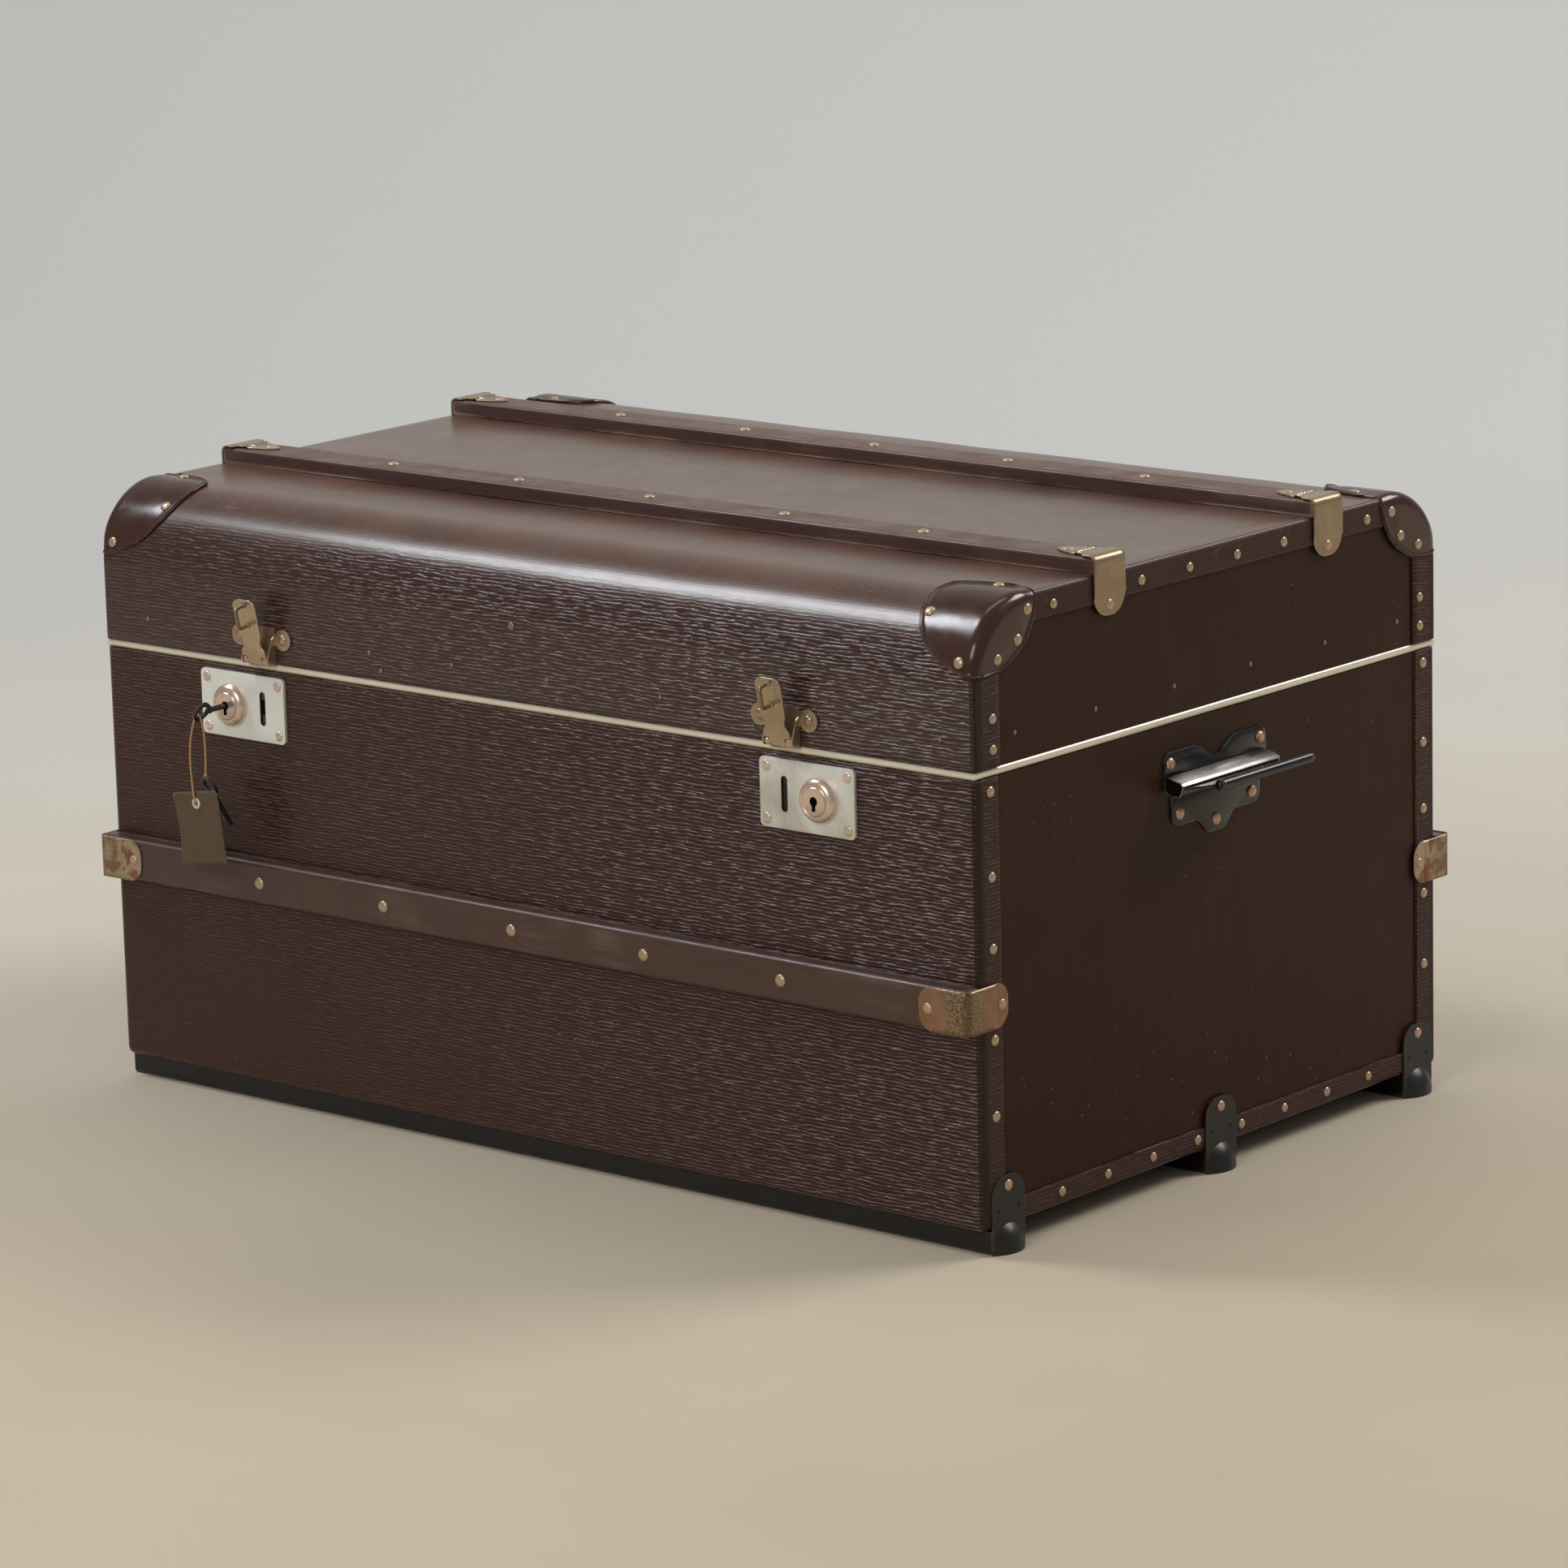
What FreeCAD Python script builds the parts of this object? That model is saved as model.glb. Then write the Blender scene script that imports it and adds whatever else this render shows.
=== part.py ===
import FreeCAD, Part
import math
import os

# A closed travelling trunk of brown fibre over board, standing on three black battens.
# Millimetres. X runs along the front, Y from front to back, Z up. The origin is the middle
# of the sole of the middle batten, so the floor is Z = 0. The lid is shut, both hasps are
# turned up, both end handles are held out, and a key with a tag stands in the left lock.

V = FreeCAD.Vector

# Overall body
BODY_LENGTH = 900.0
BODY_DEPTH = 586.0
BATTEN_HEIGHT = 18.0
BASE_HEIGHT = 342.0
LID_HEIGHT = 123.0
LID_ROUND = 60.0
FOLD_ROUND = 7.0
LID_FOLD = 3.6

# Walls: fibre sheet, end boards, lining boards
SHEET = 3.0
FLANGE_SHEET = 2.0
END_BOARD = 6.0
LID_LINER = 6.0
LIP_CLEARANCE = 1.0
INNER_FOLD = 1.6
BASE_SIDE_FLANGE = 27.0
BASE_FOOT_FLANGE = 19.5
LID_SIDE_FLANGE = 31.0
LID_TOP_FLANGE = 22.5
WINDOW_ROUND = 34.0

# Metal bead between lid and base, and the lip that centres the lid
BEAD_HEIGHT = 6.7
BEAD_INSET = 1.0
BEAD_WIDTH = 7.0
BEAD_ROUND = 3.0
SEAM_GAP = 0.3
LIP_SHEET = 2.5
LIP_RISE = 16.0
LIP_DROP = 18.0

# Wooden slats on the lid and rails on the base
SLAT_WIDTH = 36.0
SLAT_THICKNESS = 12.0
SLAT_EDGE_ROUND = 2.5
SLAT_FRONT_INSET = 162.0
SLAT_REAR_INSET = 147.0
RAIL_HEIGHT = 34.0
RAIL_THICKNESS = 14.0
RAIL_RISE = 171.0
RAIL_EDGE_ROUND = 4.0

# Battens under the base
BATTEN_WIDTH = 38.0
BATTEN_INSET = 29.0
BATTEN_CHAMFER = 1.8

# Steel caps on the batten ends
FOOT_PLATE_HEIGHT = 58.5
FOOT_PLATE_SHEET = 1.4
FOOT_PLATE_TOP_ROUND = 15.0
FOOT_TOE_REACH = 9.0
FOOT_TOE_RISE = 3.0

# Bent metal clips at the rail and slat ends
CLIP_SHEET = 1.4
CLIP_RAISED = 0.8
CLIP_BEND_ROUND = 4.0
RAIL_CLIP_FRONT = 44.0
RAIL_CLIP_END = 33.5
RAIL_CLIP_TONGUE = 14.0
RAIL_CLIP_CORNER = 6.0
SLAT_CLIP_WIDTH = 37.0
SLAT_CLIP_TOP = 46.0
SLAT_CLIP_LEAF = 25.0
SLAT_CLIP_NECK = 11.0
SLAT_CLIP_NECK_WIDTH = 25.0
SLAT_CLIP_DROP = 44.5
SLAT_CLIP_TONGUE = 13.5
SLAT_CLIP_CORNER = 8.0
SLAT_CLIP_BEND_ROUND = 5.0

# Moulded caps on the lid corners: reach along the front, along the end, and down
CAP_SHEET = 2.2
CAP_REACH = 67.0
CAP_END_REACH = 66.0
CAP_DROP = 72.0
CAP_CHORD = 89.0
# The cap's outline, as shares: along the end by drop (from its foot), and along the front by chord.
CAP_END_SHARES = ((0.0606, 0.2361), (0.2879, 0.2778), (0.6061, 0.4236), (0.7424, 0.5556), (0.8712, 0.7778))
CAP_LEAF_SHARES = ((0.1493, 0.0528), (0.4776, 0.2247), (0.8507, 0.4337), (0.9552, 0.4831), (1.0, 0.5708),
                   (0.8955, 0.6629), (0.4985, 0.8539), (0.194, 0.9045), (0.0299, 1.0))

# Locks: plate, boss, case behind the plate, bolt
LOCK_INSET = 179.0
LOCK_DROP = 30.5
PLATE_WIDTH = 91.5
PLATE_HEIGHT = 53.5
PLATE_SHIFT = 22.0
PLATE_RISE = 3.0
PLATE_SHEET = 1.4
PLATE_BEVEL = 1.6
PLATE_CORNER = 2.0
SLOT_WIDTH = 5.0
SLOT_HEIGHT = 26.5
BOSS_SHIFT = 34.5
BOSS_RADIUS = 17.0
BOSS_STEP_RADIUS = 12.5
BOSS_DISC_RADIUS = 8.5
BOSS_STEP_HEIGHT = 2.6
BOSS_HEIGHT = 6.2
KEYHOLE_RADIUS = 3.75
KEYHOLE_SLOT_WIDTH = 3.4
KEYHOLE_SLOT_DROP = 9.0
CASE_WIDTH = 66.0
CASE_HEIGHT = 39.0
CASE_MARGIN = 13.0
CASE_SHEET = 1.2
CASE_DEPTH = 10.0
BOLT_HEIGHT = 12.0
BOLT_THICKNESS = 2.6
BOLT_LENGTH = 17.0
BOLT_SETBACK = 2.5
BOLT_DEPTH = 1.2
BOLT_CLEARANCE = 0.2

# Hasps with their brackets, on the lid
HASP_PIVOT_RISE = 2.5
HASP_PIVOT_OFF = 6.4
HASP_TILT = 12.0
HASP_LENGTH = 53.0
HASP_WIDTH = 25.0
HASP_WAIST = 18.5
HASP_WAIST_HEIGHTS = (8.5, 12.0, 17.0, 23.0)
HASP_CORNER = 4.0
HASP_SHEET = 1.8
HASP_BARREL_RADIUS = 3.0
STAPLE_RADIUS = 1.5
STAPLE_REACH = 11.0
STAPLE_LENGTH = 20.0
HASP_PIN_RADIUS = 1.5
PIN_CLEARANCE = 0.08
BRACKET_SHEET = 1.4
BRACKET_INSIDE = 26.4
BRACKET_HEIGHT = 27.0
EAR_RADIUS = 8.5
EAR_SPACING = 47.0
EAR_RISE = 18.0

# End handles: hooded top plate, back plate, turning grip
HANDLE_DROP = 49.0
HANDLE_AXIS_OFF = 10.5
HANDLE_WIDTH = 134.0
HANDLE_SHEET = 1.8
HANDLE_EAR_TOP = 28.0
HANDLE_FOOT_RISE = 10.6
HANDLE_DIP_DEPTH = 10.5
HANDLE_DIP_WIDTH = 28.0
HANDLE_DIP_MOUTH = 54.0
HANDLE_EAR_CORNER = 7.0
CHEEK_BACK = 4.0
CHEEK_FRONT = 3.0
CHEEK_NOSE = 5.5
CHEEK_RISE = 6.0
HOOD_RADIUS = 7.4
HOOD_WIDTH = 124.0
CHEEK_SHEET = 1.6
GRIP_WIDTH = 116.0
GRIP_BARREL_RADIUS = 4.6
GRIP_BAR_RADIUS = 4.2
GRIP_REACH = 38.8
GRIP_TILT = 13.0
GRIP_PIN_RADIUS = 2.0
BACKPLATE_WIDTH = 114.0
BACKPLATE_TOP_DROP = 7.5
BACKPLATE_SHOULDER_DROP = 30.0
BACKPLATE_TIP_DROP = 43.0
BACKPLATE_CORNER = 8.0
BACKPLATE_WAIST = 52.0
BACKPLATE_NECK = 24.0
BACKPLATE_TIP = 14.0
BACKPLATE_TIP_BEVEL = 3.0

# Rear hinges
HINGE_INSET = 180.0
HINGE_SHEET = 1.8
HINGE_AXIS_OFF = 6.0
HINGE_BARREL_RADIUS = 4.2
HINGE_PIN_RADIUS = 1.8
HINGE_WIDTH = 40.0
HINGE_KNUCKLE = 13.4
HINGE_KNUCKLE_GAP = 0.3
HINGE_LEAF = 52.0

# Keys, string and tag
KEY_TURN = 32.0
KEY_SHAFT_RADIUS = 2.0
KEY_SHAFT_LENGTH = 37.0
BOW_OUTER = 8.7
BOW_INNER = 5.6
BOW_THICKNESS = 2.4
BIT_REACH = 7.0
BIT_LENGTH = 4.5
SPARE_KEY_LENGTH = 40.0
STRING_RADIUS = 0.8
TAG_WIDTH = 50.0
TAG_HEIGHT = 59.0
TAG_THICKNESS = 0.8
TAG_ROLL = 8.5
TAG_CORNER = 4.0
EYELET_RADIUS = 2.0
EYELET_DROP = 9.5

# Derived places
HX = BODY_LENGTH / 2
HY = BODY_DEPTH / 2
BASE_TOP = BATTEN_HEIGHT + BASE_HEIGHT
SEAM_TOP = BASE_TOP + SEAM_GAP + BEAD_HEIGHT
LID_TOP = SEAM_TOP + LID_HEIGHT
END_X = HX - FLANGE_SHEET
BOARD_X = END_X - END_BOARD
LID_INNER_X = BOARD_X - LID_LINER
LID_INNER_Y = HY - SHEET - LID_LINER
BASE_INNER_X = LID_INNER_X - LIP_CLEARANCE
BASE_INNER_Y = LID_INNER_Y - LIP_CLEARANCE
BASE_LINER = LID_LINER + LIP_CLEARANCE
BASE_FLOOR = BATTEN_HEIGHT + SHEET + BASE_LINER
FRONT_Y = -HY
RAIL_FACE_Y = HY + RAIL_THICKNESS
HINGE_AXIS_Y = HY + HINGE_AXIS_OFF
HINGE_AXIS_Z = BASE_TOP + SEAM_GAP / 2 + BEAD_HEIGHT / 2
SLAT_ENDS = HX
SLAT_FRONT_Y = FRONT_Y + SLAT_FRONT_INSET
SLAT_REAR_Y = HY - SLAT_REAR_INSET
RAIL_CENTRE_Z = BATTEN_HEIGHT + RAIL_RISE
BATTEN_SPACING = HY - BATTEN_INSET
LOCK_X = HX - LOCK_INSET
LOCK_Z = BASE_TOP - LOCK_DROP
HASP_PIVOT_Z = SEAM_TOP + HASP_PIVOT_RISE
HANDLE_Z = BASE_TOP - HANDLE_DROP
PLATE_X = LOCK_X + PLATE_SHIFT
BOSS_X = LOCK_X + BOSS_SHIFT


def block(x0, x1, y0, y1, z0, z1):
    return Part.makeBox(x1 - x0, y1 - y0, z1 - z0, V(x0, y0, z0))


def rod(radius, start, end):
    axis = end - start
    return Part.makeCylinder(radius, axis.Length, start, axis)


def rounded_face(corners, place):
    """A flat face through corners (u, v, radius); place turns u and v into a point."""
    pieces = []
    count = len(corners)
    for i in range(count):
        u, v, radius = corners[i]
        here = V(u, v, 0)
        back = V(corners[i - 1][0], corners[i - 1][1], 0) - here
        ahead = V(corners[(i + 1) % count][0], corners[(i + 1) % count][1], 0) - here
        back.normalize()
        ahead.normalize()
        if radius <= 0:
            pieces.append((here, None, here))
            continue
        half = back.getAngle(ahead) / 2
        reach = radius / math.tan(half)
        middle = back + ahead
        middle.normalize()
        bulge = here + middle * (radius / math.sin(half) - radius)
        pieces.append((here + back * reach, bulge, here + ahead * reach))
    edges = []
    for i in range(count):
        start, bulge, end = [p and place(p.x, p.y) for p in pieces[i]]
        following = pieces[(i + 1) % count][0]
        if bulge is not None:
            edges.append(Part.Arc(start, bulge, end).toShape())
        target = place(following.x, following.y)
        if (target - end).Length > 1e-6:
            edges.append(Part.LineSegment(end, target).toShape())
    return Part.Face(Part.Wire(Part.__sortEdges__(edges)))


def on_end(off):
    return lambda y, z: V(END_X + off, y, z)


def across(y):
    return lambda x, z: V(x, y, z)


def mirror_x(shape):
    return shape.mirror(V(0, 0, 0), V(1, 0, 0))


def mirror_y(shape):
    return shape.mirror(V(0, 0, 0), V(0, 1, 0))


def turned(shape, centre, axis, degrees):
    copy = shape.copy()
    copy.rotate(centre, axis, degrees)
    return copy


def revolved(profile, base, direction):
    """Turn a closed profile of (radius, height) points round its axis."""
    points = [V(radius, 0, height) for radius, height in profile]
    edges = [Part.LineSegment(a, b).toShape() for a, b in zip(points, points[1:] + points[:1])]
    solid = Part.Face(Part.Wire(edges)).revolve(V(0, 0, 0), V(0, 0, 1), 360)
    solid.Placement = FreeCAD.Placement(base, FreeCAD.Rotation(V(0, 0, 1), direction))
    return solid


def edges_where(shape, test):
    return [edge for edge in shape.Edges if test(edge.BoundBox)]


def flat(low, high):
    return abs(high - low) < 1e-4


# Lid and base shells


def trunk_profile(inset, x, rounding):
    """Cross-section of the lid through X, open flat at the seam, shrunk by inset."""
    side = HY - inset
    top = LID_TOP - inset
    corners = [(-side, SEAM_TOP, 0), (-side, top, rounding), (side, top, rounding), (side, SEAM_TOP, 0)]
    return rounded_face(corners, lambda y, z: V(x, y, z))


def lid_block(inset, end_x, rounding):
    return trunk_profile(inset, -end_x, rounding).extrude(V(2 * end_x, 0, 0))


def lid_rims(solid):
    return edges_where(solid, lambda b: flat(b.XMin, b.XMax) and b.ZMax > SEAM_TOP + 1)


def lid_skin_block(growth):
    """The lid's outer form with its end rims folded over, grown all round by growth."""
    solid = lid_block(-growth, HX + growth, LID_ROUND + growth)
    return solid.makeChamfer(LID_FOLD + growth / 2, lid_rims(solid))


def base_block(inset_end, inset_side, inset_foot):
    end = HX - inset_end
    side = HY - inset_side
    foot = BATTEN_HEIGHT + inset_foot
    return block(-end, end, -side, side, foot, BASE_TOP)


def base_folds(solid):
    foot = solid.BoundBox.ZMin
    return edges_where(solid, lambda b: b.ZMin < foot + 1)


LID_OUTER = lid_skin_block(0)
LID_CAVITY = lid_block(SHEET, END_X, LID_ROUND - SHEET)
LID_CAVITY = LID_CAVITY.makeChamfer(INNER_FOLD, lid_rims(LID_CAVITY))
BASE_OUTER = base_block(0, 0, 0)
BASE_OUTER = BASE_OUTER.makeFillet(FOLD_ROUND, base_folds(BASE_OUTER))
BASE_CAVITY = base_block(FLANGE_SHEET, SHEET, SHEET)
BASE_CAVITY = BASE_CAVITY.makeChamfer(INNER_FOLD, base_folds(BASE_CAVITY))


def lock_pocket(side):
    """The hole through the front wall that takes a lock case."""
    inner = side * (LOCK_X - CASE_MARGIN)
    outer = side * (LOCK_X - CASE_MARGIN + CASE_WIDTH)
    low, high = LOCK_Z - CASE_HEIGHT / 2, LOCK_Z + CASE_HEIGHT / 2
    return block(min(inner, outer), max(inner, outer), FRONT_Y - PLATE_RISE, FRONT_Y + CASE_DEPTH, low, high)


def base_wrap():
    wrap = BASE_OUTER.cut(BASE_CAVITY)
    side = HY - BASE_SIDE_FLANGE
    foot = BATTEN_HEIGHT + BASE_FOOT_FLANGE
    window = block(-HX - 1, HX + 1, -side, side, foot, BASE_TOP + 1)
    return wrap.cut(window).cut(lock_pocket(-1)).cut(lock_pocket(1))


def base_end():
    slab = block(BOARD_X, END_X, -HY, HY, 0, BASE_TOP)
    return BASE_CAVITY.common(slab)


def base_liner():
    outer = BASE_CAVITY.common(block(-BOARD_X, BOARD_X, -HY, HY, 0, BASE_TOP))
    room = block(-BASE_INNER_X, BASE_INNER_X, -BASE_INNER_Y, BASE_INNER_Y, BASE_FLOOR, BASE_TOP + 1)
    return outer.cut(room).cut(lock_pocket(-1)).cut(lock_pocket(1))


def base_lip():
    """A thin standing frame inside the mouth of the base, over which the lid closes."""
    low, high = BASE_TOP - LIP_DROP, BASE_TOP + LIP_RISE
    outer = block(-BASE_INNER_X, BASE_INNER_X, -BASE_INNER_Y, BASE_INNER_Y, low, high)
    x, y = BASE_INNER_X - LIP_SHEET, BASE_INNER_Y - LIP_SHEET
    ring = outer.cut(block(-x, x, -y, y, low - 1, high + 1))
    rim = edges_where(ring, lambda b: flat(b.ZMin, b.ZMax) and b.ZMin > high - 1
                      and (b.XLength > 2 * x + 1 or b.YLength > 2 * y + 1))
    return ring.makeChamfer(LIP_SHEET / 3, rim)


def lid_wrap():
    wrap = LID_OUTER.cut(LID_CAVITY)
    side, top = HY - LID_SIDE_FLANGE, LID_TOP - LID_TOP_FLANGE
    corners = [(-side, SEAM_TOP - 1, 0), (-side, top, WINDOW_ROUND), (side, top, WINDOW_ROUND),
               (side, SEAM_TOP - 1, 0)]
    window = rounded_face(corners, lambda y, z: V(-HX - 1, y, z)).extrude(V(2 * HX + 2, 0, 0))
    return wrap.cut(window)


def lid_end():
    return LID_CAVITY.common(block(BOARD_X, END_X, -HY, HY, SEAM_TOP, LID_TOP))


def lid_liner():
    outer = LID_CAVITY.common(block(-BOARD_X, BOARD_X, -HY, HY, SEAM_TOP, LID_TOP))
    inset = SHEET + LID_LINER
    room = lid_block(inset, LID_INNER_X, LID_ROUND - inset)
    return outer.cut(room)


def lid_bead():
    """The half-round metal bead that closes the mouth of the lid, mitred at its corners."""
    x, y = HX - BEAD_INSET, HY - BEAD_INSET
    low = BASE_TOP + SEAM_GAP
    outer = block(-x, x, -y, y, low, SEAM_TOP)
    outer = outer.makeFillet(BEAD_ROUND, edges_where(outer, lambda b: flat(b.ZMin, b.ZMax)))
    inner = block(-x + BEAD_WIDTH, x - BEAD_WIDTH, -y + BEAD_WIDTH, y - BEAD_WIDTH, low - 1, SEAM_TOP + 1)
    return outer.cut(inner)


# Wood


def slat(centre_y):
    half = SLAT_WIDTH / 2
    board = block(-SLAT_ENDS, SLAT_ENDS, centre_y - half, centre_y + half, LID_TOP, LID_TOP + SLAT_THICKNESS)
    long_edges = edges_where(board, lambda b: b.ZMin > LID_TOP + 1 and b.XLength > HX)
    return board.makeFillet(SLAT_EDGE_ROUND, long_edges)


def rail():
    low = RAIL_CENTRE_Z - RAIL_HEIGHT / 2
    board = block(-HX, HX, -RAIL_FACE_Y, FRONT_Y, low, low + RAIL_HEIGHT)
    long_edges = edges_where(board, lambda b: b.YMax < FRONT_Y - 1 and b.XLength > HX)
    return board.makeFillet(RAIL_EDGE_ROUND, long_edges)


def batten(centre_y):
    half = BATTEN_WIDTH / 2
    board = block(-HX, HX, centre_y - half, centre_y + half, 0, BATTEN_HEIGHT)
    sole = edges_where(board, lambda b: b.ZMax < 1 and b.XLength > HX)
    return board.makeChamfer(BATTEN_CHAMFER, sole)


# Metal clips and caps


def bent_strip(inner, bend, leg_front, leg_end, tongue_front, tongue_end):
    """Section of a strip bent round a corner at inner, its two tongues thinner than its middle."""
    corner_u, corner_v = inner
    thin, thick = CLIP_SHEET, CLIP_SHEET + CLIP_RAISED
    far_u, far_v = corner_u - leg_front, corner_v - leg_end
    return [
        (far_u, corner_v, 0), (corner_u, corner_v, 0), (corner_u, far_v, 0), (corner_u + thin, far_v, 0),
        (corner_u + thin, far_v + tongue_end, 0), (corner_u + thick, far_v + tongue_end + CLIP_RAISED, 0),
        (corner_u + thick, corner_v + thick, bend), (far_u + tongue_front + CLIP_RAISED, corner_v + thick, 0),
        (far_u + tongue_front, corner_v + thin, 0), (far_u, corner_v + thin, 0),
    ]


def rail_clip():
    """The front right clip: one tongue on the rail's face, the other on the end flange."""
    low = RAIL_CENTRE_Z - RAIL_HEIGHT / 2
    leg_end = RAIL_CLIP_END + RAIL_THICKNESS
    tongue = RAIL_CLIP_TONGUE
    corners = bent_strip((HX, RAIL_FACE_Y), CLIP_BEND_ROUND, RAIL_CLIP_FRONT, leg_end, tongue, tongue)
    strip = rounded_face(corners, lambda x, y: V(x, -y, low)).extrude(V(0, 0, RAIL_HEIGHT))
    front_tip, end_tip = HX - RAIL_CLIP_FRONT, -RAIL_FACE_Y + leg_end
    tips = edges_where(strip, lambda b: flat(b.ZMin, b.ZMax) and (
        (flat(b.XMin, b.XMax) and abs(b.XMin - front_tip) < 0.1)
        or (flat(b.YMin, b.YMax) and abs(b.YMin - end_tip) < 0.1)))
    return strip.makeChamfer(RAIL_CLIP_CORNER, tips)


def rail_clips():
    clip = rail_clip()
    return [clip, mirror_x(clip), mirror_y(clip), mirror_x(mirror_y(clip))]


def slat_clip(centre_y):
    """The right clip of a slat: a pointed leaf on top, a round-ended tongue down the end."""
    top = LID_TOP + SLAT_THICKNESS
    half = SLAT_CLIP_WIDTH / 2
    corners = bent_strip((HX, top), SLAT_CLIP_BEND_ROUND, SLAT_CLIP_TOP, SLAT_CLIP_DROP,
                         SLAT_CLIP_LEAF, SLAT_CLIP_TONGUE)
    strip = rounded_face(corners, across(centre_y - half)).extrude(V(0, SLAT_CLIP_WIDTH, 0))
    foot = top - SLAT_CLIP_DROP
    tongue = edges_where(strip, lambda b: flat(b.YMin, b.YMax) and flat(b.ZMin, b.ZMax)
                         and abs(b.ZMin - foot) < 0.1)
    strip = strip.makeChamfer(SLAT_CLIP_CORNER, tongue)
    neck, tip = HX - SLAT_CLIP_NECK, HX - SLAT_CLIP_TOP
    narrow = SLAT_CLIP_NECK_WIDTH / 2
    over = HX + SLAT_CLIP_BEND_ROUND + CLIP_RAISED
    leaf = [(tip, -3, 0), (tip, 3, 0), (tip + 8, narrow * 0.62, 0), (neck - 9, narrow, 0), (neck, narrow, 0),
            (neck + 2, half, 0), (over, half, 0), (over, -half, 0), (neck + 2, -half, 0), (neck, -narrow, 0),
            (neck - 9, -narrow, 0), (tip + 8, -narrow * 0.62, 0)]
    plan = rounded_face(leaf, lambda x, y: V(x, centre_y + y, foot - 1))
    return strip.common(plan.extrude(V(0, 0, SLAT_CLIP_DROP + 10)))


def slat_clips():
    clips = [slat_clip(SLAT_FRONT_Y), slat_clip(SLAT_REAR_Y)]
    return clips + [mirror_x(clip) for clip in clips]


def lid_cap():
    """The front right corner cap: a moulded skin over the roundover, the top and the end."""
    skin = lid_skin_block(CAP_SHEET).cut(LID_OUTER)
    low = LID_TOP - CAP_DROP
    reach = CAP_END_REACH
    outer = FRONT_Y - 10
    foot_z = low + CAP_END_SHARES[0][1] * CAP_DROP
    edge_line = [(FRONT_Y + u * reach, low + v * CAP_DROP, 0) for u, v in CAP_END_SHARES]
    end_outline = [(outer, foot_z, 0)] + edge_line + [
        (FRONT_Y + reach, LID_TOP, 0), (FRONT_Y + reach, LID_TOP + 10, 0), (outer, LID_TOP + 10, 0)]
    end_part = rounded_face(end_outline, lambda y, z: V(HX - 0.5, y, z)).extrude(V(10, 0, 0))
    # The leaf on the roundover is cut square to its 45 degree chord.
    slope = math.sqrt(0.5)
    foot = V(0, FRONT_Y, LID_TOP - LID_ROUND)
    along, out = V(0, slope, slope), V(0, -slope, slope)
    over = HX + 10
    first, last = CAP_LEAF_SHARES[0][1] * CAP_CHORD, CAP_LEAF_SHARES[-1][1] * CAP_CHORD
    leaf_line = [(HX - u * CAP_REACH, v * CAP_CHORD, 0) for u, v in CAP_LEAF_SHARES]
    leaf = [(over, first, 0)] + leaf_line + [(over, last, 0)]

    def place(u, v):
        return V(u, 0, 0) + foot + along * v + out * (-3)

    leaf_part = rounded_face(leaf, place).extrude(out * (LID_ROUND + 10))
    cap = skin.common(end_part.fuse(leaf_part))
    solids = sorted(cap.Solids, key=lambda s: s.Volume)
    return solids[-1]


def foot_cap(centre_y):
    """The right end cap of a batten: a round-topped plate with a half dome at its foot."""
    half = BATTEN_WIDTH / 2
    corners = [(-half, 0, 0), (half, 0, 0), (half, FOOT_PLATE_HEIGHT, FOOT_PLATE_TOP_ROUND),
               (-half, FOOT_PLATE_HEIGHT, FOOT_PLATE_TOP_ROUND)]
    plate = rounded_face(corners, lambda y, z: V(HX, centre_y + y, z)).extrude(V(FOOT_PLATE_SHEET, 0, 0))
    face = HX + FOOT_PLATE_SHEET / 2
    ball = (half * half + FOOT_TOE_REACH * FOOT_TOE_REACH) / (2 * FOOT_TOE_REACH)
    dome = Part.makeSphere(ball, V(face + FOOT_TOE_REACH - ball, centre_y, FOOT_TOE_RISE))
    keep = block(face, face + FOOT_TOE_REACH + 1, centre_y - half, centre_y + half, 0, FOOT_PLATE_HEIGHT)
    return plate.fuse(dome.common(keep))


def foot_caps():
    right = [foot_cap(y) for y in (-BATTEN_SPACING, 0, BATTEN_SPACING)]
    left = [mirror_x(foot_cap(y)) for y in (0, BATTEN_SPACING)]
    return right + left


# Locks; the outer side of each lock carries its boss


def lock_plate():
    """The right lock plate, a shallow pan with bevelled edges, a hasp slot and a keyhole."""
    half_w, half_h = PLATE_WIDTH / 2, PLATE_HEIGHT / 2
    face_y = FRONT_Y - PLATE_RISE
    pan = block(PLATE_X - half_w, PLATE_X + half_w, face_y, FRONT_Y, LOCK_Z - half_h, LOCK_Z + half_h)
    pan = pan.makeChamfer(PLATE_CORNER, edges_where(pan, lambda b: b.YLength > 1))
    pan = pan.makeChamfer(PLATE_BEVEL, edges_where(pan, lambda b: b.YMax < face_y + 0.01))
    w, h = half_w - PLATE_BEVEL - PLATE_SHEET, half_h - PLATE_BEVEL - PLATE_SHEET
    pan = pan.cut(block(PLATE_X - w, PLATE_X + w, face_y + PLATE_SHEET, FRONT_Y + 1, LOCK_Z - h, LOCK_Z + h))
    slot_x, slot_z = SLOT_WIDTH / 2, SLOT_HEIGHT / 2
    slot = block(LOCK_X - slot_x, LOCK_X + slot_x, face_y - 1, FRONT_Y + 1, LOCK_Z - slot_z, LOCK_Z + slot_z)
    return pan.cut(slot).cut(keyhole())


def keyhole():
    start = V(BOSS_X, FRONT_Y + 1, LOCK_Z)
    hole = rod(KEYHOLE_RADIUS, start, start - V(0, 20, 0))
    half = KEYHOLE_SLOT_WIDTH / 2
    slot = block(BOSS_X - half, BOSS_X + half, FRONT_Y - 19, FRONT_Y + 1, LOCK_Z - KEYHOLE_SLOT_DROP, LOCK_Z)
    return hole.fuse(slot)


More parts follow.
